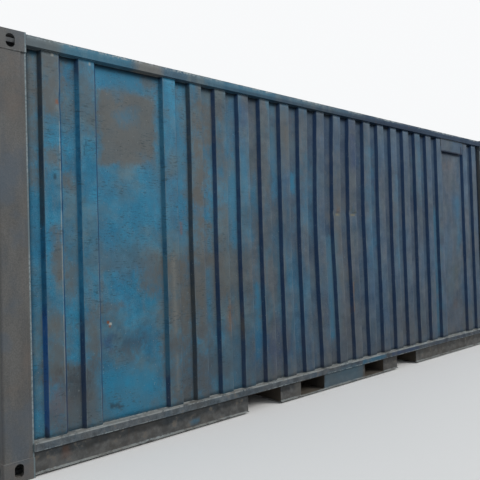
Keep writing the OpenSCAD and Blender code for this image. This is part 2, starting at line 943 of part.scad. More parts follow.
// A hub clamped on the rod, with a flat bar that runs towards the hinges
module handle() {
    hub_h = handle_h * 1.6;
    difference() {
        union() {
            translate([rod_x, 0, -hub_h / 2]) cylinder(r = collar_r, h = hub_h);
            translate([0, 0, -handle_h / 2])
                linear_extrude(height = handle_h)
                    polygon(strip([for (p = handle_path()) [half_l - p[0], p[1]]], handle_t));
        }
        translate([rod_x, 0, -hub_h]) cylinder(r = rod_r + rod_clearance, h = 2 * hub_h);
    }
}

module door_handles() {
    color(galvanised)
        for (side = [left, right], y = rod_ys)
            flip(side == left, [0, 1, 0])
                translate([0, y, handle_z]) handle();
}

// A bent shelf on the leaf that the end of the handle rests in, with a flap over its top
module handle_catch() {
    h = handle_h / 2 + handle_rest + catch_t / 2;
    lip_a = handle_in - handle_rest - catch_t / 2;
    shelf = [[leaf_recess - catch_t / 2, h], [leaf_recess - catch_t / 2, -h], [lip_a, -h],
        [lip_a, -h + catch_lip]];
    flap = [[leaf_recess - catch_t / 2, h + catch_lip], [leaf_recess - catch_t / 2, h],
        [lip_a, h], [lip_a, h - catch_lip]];
    translate([half_l, handle_l - handle_grip - catch_w / 2, 0])
        along_y(catch_w)
            union() {
                polygon(strip([for (p = shelf) [-p[0], p[1]]], catch_t));
                polygon(strip([for (p = flap) [-p[0], p[1]]], catch_t));
            }
}

module handle_catches() {
    color(galvanised)
        for (side = [left, right], y = rod_ys)
            flip(side == left, [0, 1, 0])
                translate([0, y, handle_z]) handle_catch();
}

// Nodes

casting_at(front, left, false);  // casting_bottom_front_left
casting_at(front, right, false);  // casting_bottom_front_right
casting_at(rear, left, false);  // casting_bottom_rear_left
casting_at(rear, right, false);  // casting_bottom_rear_right
casting_at(front, left, true);  // casting_top_front_left
casting_at(front, right, true);  // casting_top_front_right
casting_at(rear, left, true);  // casting_top_rear_left
casting_at(rear, right, true);  // casting_top_rear_right
front_post(left);  // post_front_left
front_post(right);  // post_front_right
rear_post(left);  // post_rear_left
rear_post(right);  // post_rear_right
top_rail(left);  // top_rail_left
top_rail(right);  // top_rail_right
bottom_rail();  // bottom_rail_left
rotate([0, 0, 180]) bottom_rail();  // bottom_rail_right
front_top_rail();
front_sill();
door_header();
door_sill();
side_wall();  // side_wall_left
rotate([0, 0, 180]) side_wall();  // side_wall_right
vent_cover();  // vent_cover_left
rotate([0, 0, 180]) vent_cover();  // vent_cover_right
front_wall();
roof();
roof_corner_plates();
floor_deck();
cross_members();
fork_pocket(-outer_pocket_spacing / 2, outer_pocket_w, false);  // fork_pocket_outer_front
fork_pocket(-inner_pocket_spacing / 2, inner_pocket_w, true);  // fork_pocket_inner_front
fork_pocket(inner_pocket_spacing / 2, inner_pocket_w, true);  // fork_pocket_inner_rear
fork_pocket(outer_pocket_spacing / 2, outer_pocket_w, false);  // fork_pocket_outer_rear
mirror([0, 1, 0]) door_leaf();  // door_leaf_left
door_leaf();  // door_leaf_right
door_gaskets();
door_hinges();
lock_rod(-outer_rod_y);  // lock_rod_left_outer
lock_rod(-inner_rod_y);  // lock_rod_left_inner
lock_rod(inner_rod_y);  // lock_rod_right_inner
lock_rod(outer_rod_y);  // lock_rod_right_outer
rod_brackets();
cam_keepers();
door_handles();
handle_catches();
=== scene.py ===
# %% [markdown]
# A worn 20 ft shipping container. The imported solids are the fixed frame: posts, rails, castings,
# doors and floor keep their shape and only get their paint here. The corrugated walls are made
# again with rolled bends and dents, and the welds, bolts and rubber lips are added on top.

# %% Load the frame
import json
import math
import bpy
from mathutils import Matrix, Vector


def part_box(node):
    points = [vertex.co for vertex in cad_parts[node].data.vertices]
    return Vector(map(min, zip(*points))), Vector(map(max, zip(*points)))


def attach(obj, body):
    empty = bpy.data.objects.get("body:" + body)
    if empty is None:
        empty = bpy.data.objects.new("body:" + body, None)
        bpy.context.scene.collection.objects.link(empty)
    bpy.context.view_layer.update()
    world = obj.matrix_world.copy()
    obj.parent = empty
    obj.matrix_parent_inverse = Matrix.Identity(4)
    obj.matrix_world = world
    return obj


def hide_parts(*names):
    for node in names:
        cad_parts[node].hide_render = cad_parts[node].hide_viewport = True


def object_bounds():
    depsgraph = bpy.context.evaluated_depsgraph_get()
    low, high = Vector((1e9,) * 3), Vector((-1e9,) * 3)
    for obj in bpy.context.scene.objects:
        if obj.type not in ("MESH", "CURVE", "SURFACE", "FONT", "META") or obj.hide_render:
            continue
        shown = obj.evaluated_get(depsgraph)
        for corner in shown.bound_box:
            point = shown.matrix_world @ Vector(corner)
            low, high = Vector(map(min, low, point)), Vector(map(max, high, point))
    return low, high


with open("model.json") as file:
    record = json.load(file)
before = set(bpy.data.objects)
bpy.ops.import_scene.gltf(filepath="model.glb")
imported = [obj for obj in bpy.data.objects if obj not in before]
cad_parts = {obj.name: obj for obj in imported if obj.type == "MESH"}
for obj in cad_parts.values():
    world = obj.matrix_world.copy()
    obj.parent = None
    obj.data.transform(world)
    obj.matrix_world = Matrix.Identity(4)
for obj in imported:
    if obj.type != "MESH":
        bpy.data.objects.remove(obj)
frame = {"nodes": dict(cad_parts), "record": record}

cad_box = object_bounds()
scene = bpy.context.scene
print("nodes:", len(frame["nodes"]))

# %% [markdown]
# The camera stands in front of the left end and looks along the side, so the near post fills the
# left edge and the ribs crowd together towards the doors. Its place and angles come from lining
# up the holes of the castings, the fork pockets and the top rail. The three angles turn into one
# rotation matrix, whose columns are the camera's right, up and backward directions.

# %% Camera
yaw, pitch, roll = 0.7045, 0.0182, -0.0294
CAMERA_PLACE = (-3.9036, -4.3393, 1.2825)
FOCAL_PIXELS, FRAME_PIXELS = 525.906, 480
look = Vector((math.sin(yaw) * math.cos(pitch), math.cos(yaw) * math.cos(pitch), math.sin(pitch)))
level_right = Vector((math.cos(yaw), -math.sin(yaw), 0))
level_up = level_right.cross(look)
right = math.cos(roll) * level_right + math.sin(roll) * level_up
up = math.cos(roll) * level_up - math.sin(roll) * level_right

camera_data = bpy.data.cameras.new("camera")
camera_data.sensor_width = 36
camera_data.lens = 36 * FOCAL_PIXELS / FRAME_PIXELS
camera = bpy.data.objects.new("camera", camera_data)
turn = Matrix((right, up, -look)).transposed()
camera.matrix_world = Matrix.Translation(CAMERA_PLACE) @ turn.to_4x4()
scene.collection.objects.link(camera)
scene.camera = camera
print("lens", round(camera_data.lens, 2), "mm")

# %% [markdown]
# Light, paint and shapes all come from trees of nodes. A long sum is hard to follow as a list of
# nodes, so an output is wrapped in a Value: adding or multiplying Values puts Math nodes in their
# tree. step puts in any other node and fills its inputs.

# %% Node helpers


class Value:
    """A node's output that can be added, subtracted, multiplied and divided like a number."""

    def __init__(self, socket):
        self.socket = socket
        self.tree = socket.id_data

    def __add__(self, other):
        return calc("ADD", self, other)

    def __sub__(self, other):
        return calc("SUBTRACT", self, other)

    def __rsub__(self, other):
        return calc("SUBTRACT", other, self)

    def __mul__(self, other):
        return calc("MULTIPLY", self, other)

    def __truediv__(self, other):
        return calc("DIVIDE", self, other)

    def __abs__(self):
        return calc("ABSOLUTE", self)

    __radd__ = __add__


def link(value, socket):
    """Joins a value to a socket: a Value is linked, a number or colour is set."""
    if isinstance(value, Value):
        value.tree.links.new(value.socket, socket)
    else:
        socket.default_value = value


def fill(node, values):
    """Fills a node's inputs, which are called by name or number."""
    for key, value in values.items():
        link(value, node.inputs[key])


def step(kind, values, output=0, tree=None, **settings):
    """Puts a node in the tree of its values, or in the given one, and returns one output."""
    tree = tree or next(value.tree for value in values.values() if isinstance(value, Value))
    node = tree.nodes.new(kind)
    for name, setting in settings.items():
        setattr(node, name, setting)
    fill(node, values)
    return Value(node.outputs[output])


def source(tree, kind, output=0):
    """A node without inputs, such as coordinates."""
    return step(kind, {}, output, tree)


def calc(operation, a, b=0.0, clamp=False):
    return step("ShaderNodeMath", {0: a, 1: b}, operation=operation, use_clamp=clamp)


def coat(amount, below, above, mode="MIX"):
    """Lays the colour above over the colour below by amount."""
    return step("ShaderNodeMix", {0: amount, 6: below, 7: above}, 2, data_type="RGBA", blend_type=mode)


print("node helpers:", [helper.__name__ for helper in (link, fill, step, source, calc, coat)])

# %% [markdown]
# The light is an even sky with a wide, soft sun from the door end. The sun lies on that side
# because the left flank of each rib is the dark one. Seen directly, the sky is plain white.

# %% Light
scene.view_settings.view_transform = "Standard"
SKY_STRENGTH, SUN_STRENGTH, SUN_WIDTH = 0.50, 1.55, 25

world = bpy.data.worlds.new("sky")
scene.world = world
world.use_nodes = True
sky = world.node_tree
sky.nodes.clear()
direct = calc("MAXIMUM", source(sky, "ShaderNodeLightPath", "Is Camera Ray"),
              source(sky, "ShaderNodeLightPath", "Is Glossy Ray"))
sky_light = step("ShaderNodeBackground", {"Color": (0.93, 0.97, 1.0, 1), "Strength": SKY_STRENGTH}, tree=sky)
sky_white = step("ShaderNodeBackground", {"Color": (0.94, 0.95, 0.96, 1)}, tree=sky)
sky_seen = step("ShaderNodeMixShader", {0: direct, 1: sky_light, 2: sky_white})
link(sky_seen, sky.nodes.new("ShaderNodeOutputWorld").inputs["Surface"])

sun_data = bpy.data.lights.new("sun", "SUN")
sun_data.energy = SUN_STRENGTH
sun_data.angle = math.radians(SUN_WIDTH)
sun_data.color = (1.0, 0.98, 0.95)
sun = bpy.data.objects.new("sun", sun_data)
sun.rotation_euler = Vector((0.50, -0.62, 0.60)).to_track_quat("Z", "Y").to_euler()
scene.collection.objects.link(sun)
print("sun", SUN_STRENGTH, "sky", SKY_STRENGTH)

# %% [markdown]
# The floor looks almost white to the camera, but throws back light as a middle grey does, so that
# it doesn't brighten the container from below.

# %% Floor


def mesh_object(name, points, faces):
    """An object at the origin with its place in its mesh."""
    mesh = bpy.data.meshes.new(name)
    mesh.from_pydata(points, [], faces)
    made = bpy.data.objects.new(name, mesh)
    scene.collection.objects.link(made)
    return made


FLOOR_REACH = 60
floor_corners = [(sx * FLOOR_REACH, sy * FLOOR_REACH, 0) for sx, sy in ((-1, -1), (1, -1), (1, 1), (-1, 1))]
floor = mesh_object("floor", floor_corners, [(0, 1, 2, 3)])
floor_paint = bpy.data.materials.new("floor_paint")
floor_paint.use_nodes = True
floor_seen = source(floor_paint.node_tree, "ShaderNodeLightPath", "Is Camera Ray")
floor_colour = coat(floor_seen, (0.42, 0.42, 0.42, 1), (0.95, 0.95, 0.95, 1))
fill(floor_paint.node_tree.nodes["Principled BSDF"], {"Base Color": floor_colour, "Roughness": 0.9})
floor.data.materials.append(floor_paint)
print("floor", 2 * FLOOR_REACH, "m wide")

# %% [markdown]
# Old container paint is many thin things on top of each other: a coat that has bleached, patches
# of grey touch-up, dirt that gathers in folds, and rust that runs down. Each is a small group of
# nodes. These helpers give the noise, the blends and the coordinates that the groups are made of.

# %% Paint helpers
FLOAT, COLOUR, VECTOR = "NodeSocketFloat", "NodeSocketColor", "NodeSocketVector"


def rgb(r, g, b):
    """A colour as a screen gives it, each part from 0 to 255, as Blender's linear colour."""
    parts = [c / 255 for c in (r, g, b)]
    return (*[c / 12.92 if c <= 0.04045 else ((c + 0.055) / 1.055) ** 2.4 for c in parts], 1.0)


def scaled(vector, factors):
    return step("ShaderNodeVectorMath", {0: vector, 1: factors}, operation="MULTIPLY")


def shifted(vector, offset):
    return step("ShaderNodeVectorMath", {0: vector, 1: offset}, operation="ADD")


def cloud(vector, scale, detail=3.0, roughness=0.55):
    """A noise value round 0.5."""
    return step("ShaderNodeTexNoise", {"Vector": vector, "Scale": scale, "Detail": detail, "Roughness": roughness})


def between(value, low, high, out_low=0.0, out_high=1.0):
    """Rises smoothly from out_low to out_high as value goes from low to high."""
    return step("ShaderNodeMapRange", {0: value, 1: low, 2: high, 3: out_low, 4: out_high},
                interpolation_type="SMOOTHSTEP")


def outputs(value):
    """All the outputs of the node that a value comes from."""
    return [Value(socket) for socket in value.socket.node.outputs]


def axes(vector):
    """The X, Y and Z of a vector."""
    return outputs(step("ShaderNodeSeparateXYZ", {0: vector}))


def joined(x, y, z):
    return step("ShaderNodeCombineXYZ", {0: x, 1: y, 2: z})


def new_tree(kind, name, into, out_of):
    """A node group with named sockets; returns it, the values coming in and the sockets going out."""
    tree = bpy.data.node_groups.new(name, kind)
    for in_out, rows in (("INPUT", into), ("OUTPUT", out_of)):
        for title, socket_type, *start in rows:
            socket = tree.interface.new_socket(name=title, in_out=in_out, socket_type=socket_type)
            if start:
                socket.default_value = start[0]
    came_in = {value.socket.name: value for value in outputs(source(tree, "NodeGroupInput"))}
    return tree, came_in, tree.nodes.new("NodeGroupOutput").inputs


def use(group, **values):
    """Places a group; a_b in a name stands for A B on the socket. Returns its outputs by name."""
    named = {title.replace("_", " ").title(): value for title, value in values.items()}
    placed = step("ShaderNodeGroup", named, node_tree=group)
    return {value.socket.name: value for value in outputs(placed)}


print("a mid blue:", [round(c, 3) for c in rgb(60, 110, 140)])

# %% [markdown]
# Paint ages unevenly. The group below takes the fresh colour and a tired one and mottles between
# them at three sizes: clouds about 40 cm wide, 6 cm smears that run down, and a speckle of a few
# millimetres. It also gives a height for the bump, because old paint is never quite flat.

# %% Group: weathered paint
weathered, g, out = new_tree(
    "ShaderNodeTree", "weathered_paint",
    [("Vector", VECTOR, (0, 0, 0)), ("Fresh", COLOUR, rgb(60, 110, 140)), ("Tired", COLOUR, rgb(90, 94, 96)),
     ("Tiredness", FLOAT, 0.5), ("Scale", FLOAT, 1.0)],
    [("Color", COLOUR), ("Roughness", FLOAT), ("Height", FLOAT)])
spot = g["Vector"]
size = g["Scale"]
clouds = cloud(scaled(spot, (1.0, 1.0, 0.55)), size * 2.6, 4)
smears = cloud(scaled(spot, (1.0, 1.0, 0.22)), size * 17, 3)
speckle = cloud(spot, size * 150, 2)
mottle = clouds * 0.60 + smears * 0.26 + speckle * 0.14
# Tiredness moves the line at which a cloud counts as tired paint
line = 0.86 - g["Tiredness"] * 0.72
tired = between(mottle, line - 0.10, line + 0.10)
colour = coat(tired, g["Fresh"], g["Tired"])
colour = coat(0.85, colour, between(speckle, 0.3, 0.7, 0.84, 1.16), "MULTIPLY")
colour = coat(0.7, colour, between(smears, 0.3, 0.7, 0.86, 1.14), "MULTIPLY")
link(colour, out["Color"])
link(between(clouds, 0.3, 0.7, 0.52, 0.72), out["Roughness"])
link(speckle + smears * 1.5, out["Height"])
print("weathered_paint:", len(weathered.nodes), "nodes")

# %% [markdown]
# Rust starts where the paint is chipped and washes down from there. Small noise blobs give the
# chips, and a finer noise pulled out very long in Z gives the stains among them.

# %% Group: rust
rust, g, out = new_tree(
    "ShaderNodeTree", "rust",
    [("Vector", VECTOR, (0, 0, 0)), ("Color", COLOUR, rgb(90, 90, 90)), ("Amount", FLOAT, 0.3),
     ("Stain", FLOAT, 0.3), ("Scale", FLOAT, 1.0)],
    [("Color", COLOUR), ("Chips", FLOAT)])
blobs = cloud(g["Vector"], g["Scale"] * 22, 5, 0.62)
groups = cloud(g["Vector"], g["Scale"] * 1.7, 2)
runs = cloud(scaled(g["Vector"], (1, 1, 0.035)), g["Scale"] * 30, 2)
where = between(groups, 0.42, 0.68)
line = 0.80 - g["Amount"] * 0.2
chips = between(blobs, line, line + 0.04) * where
stain = between(runs, 0.56, 0.78) * where * g["Stain"]
brown = coat(cloud(g["Vector"], 90, 2), rgb(64, 40, 28), rgb(136, 84, 48))
colour = coat(stain, g["Color"], rgb(112, 80, 56))
link(coat(chips, colour, brown), out["Color"])
link(chips, out["Chips"])
print("rust:", len(rust.nodes), "nodes")

# %% [markdown]
# Dust lies on what faces up, and dirt splashes up from below and thins out with height.

# %% Group: grime
grime, g, out = new_tree(
    "ShaderNodeTree", "grime",
    [("Vector", VECTOR, (0, 0, 0)), ("Color", COLOUR, rgb(90, 90, 90)), ("Dust", FLOAT, 0.5),
     ("Splash", FLOAT, 0.4)],
    [("Color", COLOUR)])
facing = source(grime, "ShaderNodeTexCoord", "Normal")
upward = between(axes(facing)[2], 0.5, 0.95)
patchy = between(cloud(g["Vector"], 7, 4), 0.3, 0.65, 0.35, 1.0)
height = axes(g["Vector"])[2]
low = between(height + patchy * -0.35, 0.45, -0.25)
dusty = coat(upward * patchy * g["Dust"], g["Color"], rgb(136, 132, 124))
muddy = coat(low * patchy * g["Splash"], dusty, rgb(92, 84, 74))
link(muddy, out["Color"])
print("grime:", len(grime.nodes), "nodes")

# %% [markdown]
# This container was gone over with a roller and odd tins of paint. One patch is a soft
# rectangle on the wall with a ragged edge. The group returns how much of the patch lies at a
# point, and each patch on the wall is one copy of it with its own middle and half sizes.

# %% Group: roller patch
roller_patch, g, out = new_tree(
    "ShaderNodeTree", "roller_patch",
    [("Along", FLOAT, 0), ("Height", FLOAT, 0), ("Middle", FLOAT, 0), ("Middle Height", FLOAT, 0),
     ("Half Width", FLOAT, 0.1), ("Half Height", FLOAT, 0.1), ("Soft", FLOAT, 0.05), ("Ragged", FLOAT, 0.5)],
    [("Amount", FLOAT)])


def inside(along, middle, half):
    """1 within half of the middle and 0 beyond, with a ragged line between."""
    beyond = abs(along - middle) - half + (g["Ragged"] - 0.5) * (g["Soft"] * 4.5)
    return between(beyond, g["Soft"], g["Soft"] * -1)


across = inside(g["Along"], g["Middle"], g["Half Width"])
link(across * inside(g["Height"], g["Middle Height"], g["Half Height"]), out["Amount"])
print("roller_patch:", len(roller_patch.nodes), "nodes")

# %% [markdown]
# A material starts with Object coordinates. Every piece's object stands at the origin, so these
# are the container's own metres, and a pattern runs on unbroken from one piece to the next.

# %% Material helpers
CHIPPED = rgb(164, 176, 180)
# the inner edge of the posts, and the edges of the castings above and below it
RIM_X, UPPER_Z, LOWER_Z = 2.8560, 2.4750, 0.1170


def new_material(name):
    """Returns the material, its shader and its coordinates."""
    material = bpy.data.materials.new(name)
    material.use_nodes = True
    shader = material.node_tree.nodes["Principled BSDF"]
    return material, shader, source(material.node_tree, "ShaderNodeTexCoord", "Object")


def relief(shader, height, distance=0.0006):
    bump = step("ShaderNodeBump", {"Strength": 1.0, "Distance": distance, "Height": height})
    link(bump, shader.inputs["Normal"])


def chipped_edges(spot, colour, edges, width, amount=0.75):
    """Pale chips along lines where a coordinate has one value; edges holds (coordinate, value)."""
    band = 0.0
    for value, place in edges:
        band = calc("MAXIMUM", band, between(abs(value - place), width, width * 0.4))
    chips = band * between(cloud(spot, 48, 5, 0.7), 0.44, 0.54) * between(cloud(spot, 2.6, 3), 0.38, 0.60)
    upright = between(abs(axes(source(spot.tree, "ShaderNodeTexCoord", "Normal"))[2]), 0.95, 0.75)
    chips = chips * calc("MAXIMUM", upright, between(axes(spot)[2], 0.30, 0.25))
    return coat(chips * amount, colour, CHIPPED)


def painted(name, fresh, tired, tiredness, rust_amount, stain, dust=0.5, splash=0.4, chipped=False):
    """Paint over steel for a frame piece: weathered paint, a painted highlight along the posts' inner edge,
    chipped edges, rust, then grime.
    """
    material, shader, spot = new_material(name)
    base = use(weathered, vector=spot, fresh=rgb(*fresh), tired=rgb(*tired), tiredness=tiredness)
    worn = base["Color"]
    if chipped:
        x, _, z = axes(spot)
        stains = cloud(shifted(spot, (0, 0, 9)), 3.0, 4, 0.6)
        worn = coat(between(stains, 0.52, 0.68, 0.0, 0.45), worn, rgb(108, 98, 91))
        worn = coat(between(stains, 0.48, 0.36, 0.0, 0.5), worn, rgb(80, 92, 104))
        # painted highlight: a thin pale line down the inner edge of each post, where the corner catches the light
        rim = between(abs(abs(x) - RIM_X), 0.006, 0.002, 0.0, 0.7)
        worn = coat(rim, worn, rgb(112, 134, 142))
        worn = chipped_edges(spot, worn, [(abs(x), RIM_X), (z, UPPER_Z), (z, LOWER_Z)], 0.006, 0.5)
    rusty = use(rust, vector=spot, color=worn, amount=rust_amount, stain=stain)
    dirty = use(grime, vector=spot, color=rusty["Color"], dust=dust, splash=splash)
    fill(shader, {"Base Color": dirty["Color"], "Specular IOR Level": 0.35,
                  "Roughness": calc("ADD", base["Roughness"], rusty["Chips"] * 0.25, True)})
    relief(shader, base["Height"] - rusty["Chips"] * 2.0)
    return material


frame_paint = painted("frame_paint", (86, 94, 102), (94, 94, 93), 0.55, 0.45, 0.25, splash=0.2, chipped=True)
roof_paint = painted("roof_paint", (74, 98, 116), (98, 98, 96), 0.55, 0.45, 0.3, dust=0.75)
underside_paint = painted("underside_paint", (44, 46, 48), (62, 56, 50), 0.5, 0.6, 0.5, dust=0.3, splash=0.7)
door_paint = painted("door_paint", (62, 96, 118), (88, 92, 95), 0.5, 0.45, 0.45)
print("made", frame_paint.name, roof_paint.name, underside_paint.name, door_paint.name)

# %% [markdown]
# The walls carry the picture. Grey patches and small marks lie over their blue, each with its own place, size and
# softness; some of the marks are painted highlights and painted shadows. A list holds them in the order in which
# they are laid, and a shorter one varies the painted shade on the flanks of the ribs.

# %% Touched-up places
GREY, BLUE, NAVY, BROWN = rgb(95, 96, 94), rgb(42, 118, 152), rgb(34, 66, 112), rgb(116, 88, 68)
SOOT, PALE, RUST, DENT_HIGHLIGHT = rgb(10, 14, 22), rgb(176, 178, 172), rgb(128, 76, 48), rgb(150, 138, 92)
VENT_SHADOW = rgb(22, 40, 62)
# colour, middle X, middle Z, half width, half height, softness, amount
PATCHES = [
    (GREY, -2.172, 2.12, 0.212, 0.255, 0.016, 0.90),
    (BLUE, -2.19, 2.19, 0.075, 0.045, 0.030, 0.45),
    (BLUE, -2.26, 2.34, 0.060, 0.020, 0.025, 0.40),
    (BLUE, -2.20, 2.46, 0.24, 0.06, 0.03, 0.8),
    (GREY, -2.02, 2.46, 0.05, 0.05, 0.03, 0.7),
    (GREY, -2.70, 2.34, 0.065, 0.20, 0.03, 0.85),
    (GREY, -2.70, 1.87, 0.065, 0.06, 0.02, 0.8),
    (GREY, -2.68, 1.28, 0.03, 0.17, 0.02, 0.85),
    (GREY, -2.70, 0.73, 0.07, 0.19, 0.03, 0.8),
    (GREY, -2.82, 2.10, 0.04, 0.40, 0.03, 0.75),
    (GREY, -2.59, 1.74, 0.05, 0.05, 0.02, 0.8),
    (GREY, -2.59, 1.08, 0.04, 0.14, 0.03, 0.7),
    (GREY, -2.56, 0.40, 0.13, 0.22, 0.04, 0.75),
    (GREY, -2.47, 2.28, 0.06, 0.22, 0.06, 0.55),
    (GREY, -2.25, 1.25, 0.18, 0.10, 0.05, 0.55),
    (GREY, -2.02, 1.16, 0.06, 0.16, 0.04, 0.7),
    (rgb(66, 86, 94), -2.18, 1.30, 0.09, 0.05, 0.04, 0.6),
    (GREY, -2.32, 0.94, 0.10, 0.04, 0.03, 0.6),
    (rgb(54, 78, 98), -2.17, 0.68, 0.11, 0.06, 0.04, 0.75),
    (NAVY, -2.36, 0.70, 0.03, 0.05, 0.02, 0.6),
    (GREY, -2.24, 0.58, 0.12, 0.05, 0.03, 0.5),
    (rgb(36, 134, 172), -2.20, 0.36, 0.20, 0.15, 0.04, 0.68),
    (BLUE, -2.02, 1.75, 0.05, 0.18, 0.03, 0.7),
    (BLUE, -2.24, 1.50, 0.20, 0.26, 0.06, 0.35),
    (GREY, -1.86, 0.74, 0.06, 0.53, 0.05, 0.9),
    (GREY, -1.86, 1.80, 0.05, 0.45, 0.08, 0.35),
    (BLUE, -1.75, 1.80, 0.04, 0.50, 0.03, 0.6),
    (GREY, -1.76, 0.75, 0.04, 0.50, 0.03, 0.85),
    (GREY, -1.62, 1.25, 0.06, 1.10, 0.06, 0.95),
    (BLUE, -1.53, 0.95, 0.025, 0.20, 0.02, 0.7),
    (GREY, -1.52, 2.20, 0.05, 0.18, 0.04, 0.8),
    (GREY, -1.39, 1.45, 0.06, 0.60, 0.10, 0.7),
    (BLUE, -1.27, 1.60, 0.03, 0.28, 0.03, 0.75),
    (rgb(72, 88, 102), -1.40, 0.42, 0.42, 0.20, 0.08, 0.55),
    (BROWN, -1.34, 0.80, 0.028, 0.11, 0.02, 0.65),
    (BLUE, -1.04, 0.70, 0.03, 0.30, 0.03, 0.8),
    (BLUE, -0.82, 2.00, 0.03, 0.30, 0.04, 0.7),
    (GREY, -0.70, 2.20, 0.06, 0.25, 0.08, 0.7),
    (BLUE, -0.60, 1.85, 0.03, 0.08, 0.02, 0.8),
    (BLUE, -0.46, 1.80, 0.06, 0.30, 0.08, 0.45),
    (BLUE, -0.12, 0.90, 0.035, 0.50, 0.04, 0.8),
    (GREY, 0.00, 1.30, 0.07, 0.70, 0.12, 0.55),
    (BROWN, 0.17, 0.80, 0.012, 0.14, 0.01, 0.6),
    (BLUE, 2.30, 1.50, 0.03, 0.35, 0.04, 0.4),
    (PALE, -1.852, 0.98, 0.005, 0.28, 0.014, 0.20),
    (PALE, -1.846, 0.42, 0.005, 0.14, 0.014, 0.20),
    # painted highlights: a thin line down the right edge of the first rib, and two small glints at the heads of
    # the first two ribs
    (PALE, -2.655, 1.30, 0.002, 0.80, 0.003, 0.50),
    (PALE, -2.690, 2.502, 0.005, 0.006, 0.005, 0.60),
    (PALE, -2.450, 2.494, 0.005, 0.009, 0.005, 0.60),
    (PALE, -2.337, 0.824, 0.010, 0.008, 0.003, 0.90),
    (RUST, -2.352, 0.836, 0.008, 0.009, 0.003, 0.90),
    (RUST, -2.340, 0.808, 0.006, 0.008, 0.003, 0.70),
    (RUST, -2.665, 2.22, 0.010, 0.016, 0.006, 0.80),
    (SOOT, -2.500, 1.935, 0.006, 0.035, 0.006, 0.60),
    (SOOT, -2.488, 1.975, 0.005, 0.025, 0.006, 0.50),
    (SOOT, -2.690, 1.76, 0.010, 0.018, 0.008, 0.60),
    (SOOT, -2.320, 0.29, 0.030, 0.012, 0.010, 0.60),
    (SOOT, -2.270, 0.275, 0.020, 0.008, 0.008, 0.60),
    # the two dents at chest height: painted highlight below each, and painted shade above it in darker browns
    (DENT_HIGHLIGHT, -0.030, 1.582, 0.022, 0.009, 0.012, 0.55),
    (DENT_HIGHLIGHT, 0.205, 1.584, 0.030, 0.008, 0.012, 0.55),
    (rgb(62, 48, 46), -0.020, 1.606, 0.022, 0.007, 0.008, 0.65),
    (rgb(48, 50, 42), 0.225, 1.606, 0.036, 0.007, 0.008, 0.65),
    (BROWN, -0.010, 1.625, 0.026, 0.020, 0.020, 0.55),
    (rgb(70, 78, 66), 0.225, 1.620, 0.040, 0.016, 0.018, 0.60),
    (BROWN, 2.120, 2.220, 0.100, 0.050, 0.050, 0.25),
    (rgb(88, 92, 76), 2.150, 0.850, 0.120, 0.120, 0.060, 0.35),
    (BROWN, 2.200, 0.550, 0.050, 0.050, 0.040, 0.25),
    (RUST, -1.765, 1.45, 0.010, 0.05, 0.010, 0.45),
    (GREY, -2.47, 0.80, 0.050, 0.16, 0.030, 0.75),
    (rgb(104, 98, 108), -2.70, 0.40, 0.050, 0.11, 0.030, 0.60),
    (rgb(58, 66, 74), -2.58, 0.50, 0.080, 0.07, 0.040, 0.70),
    (BLUE, 0.50, 1.70, 0.030, 0.60, 0.060, 0.45),
    (BLUE, 0.97, 1.55, 0.020, 0.50, 0.040, 0.35),
    (BLUE, 1.76, 0.95, 0.030, 0.70, 0.050, 0.50),
    (BLUE, 1.42, 2.10, 0.040, 0.35, 0.060, 0.35),
    (NAVY, -0.90, 0.45, 0.120, 0.14, 0.080, 0.45),
    (NAVY, -1.15, 2.30, 0.060, 0.12, 0.050, 0.40),
    (NAVY, 0.24, 2.25, 0.050, 0.22, 0.050, 0.45),
    # painted shadow under the vent cover's lower edge, and painted shade in the notch at its right end
    (VENT_SHADOW, 2.150, 2.367, 0.25, 0.017, 0.004, 1.0),
    (VENT_SHADOW, 2.372, 2.410, 0.018, 0.055, 0.006, 1.0),
]

# the painted shade on the rib flanks, place by place: colour, middle X, middle Z, half width, half height
FLANKS = [
    (rgb(44, 50, 54), -2.79, 1.95, 0.06, 0.62),
    (rgb(22, 96, 134), -2.79, 1.20, 0.06, 0.24),
    (rgb(18, 88, 158), -2.79, 0.60, 0.06, 0.36),
    (rgb(30, 114, 152), -2.56, 1.62, 0.06, 0.74),
    (rgb(46, 106, 134), -1.95, 1.45, 0.07, 1.00),
    (rgb(48, 58, 64), -1.72, 1.30, 0.07, 1.20),
    (rgb(84, 78, 74), -1.25, 0.70, 0.05, 0.10),
]
FLANK_SOFTNESS = 0.06


def touched_up(colour, x, z, ragged, rows, brushed=False):
    """Lays the patches of the rows over a colour, one after the other."""
    for paint, middle, middle_z, half_x, half_z, soft, amount in rows:
        patch = use(roller_patch, along=x, height=z, middle=middle, middle_height=middle_z, half_width=half_x,
                    half_height=half_z, soft=soft, ragged=ragged)
        if brushed:
            paint = coat(0.6, paint, between(ragged, 0.3, 0.7, 0.86, 1.14), "MULTIPLY")
        colour = coat(patch["Amount"] * amount, colour, paint)
    return colour


def softened(soft):
    """A small mark keeps a sharper line than a wide patch."""
    return soft * (1.3 if soft < 0.013 else 2.1)


wall_rows = [(*row[:5], softened(row[5]), row[6]) for row in PATCHES]
flank_rows = [(*row, FLANK_SOFTNESS, 1.0) for row in FLANKS]
print("patches on the wall:", len(wall_rows), "and on the flanks:", len(flank_rows))

# %% [markdown]
# The coats are laid in the order in which a wall gets them. The first is the old one: bright blue survives at the
# front end and fades to blue-grey towards the doors, and hands and weather rub it. Painted shade then darkens the
# narrow valleys between the ribs.

# %% Wall paint: the old coat


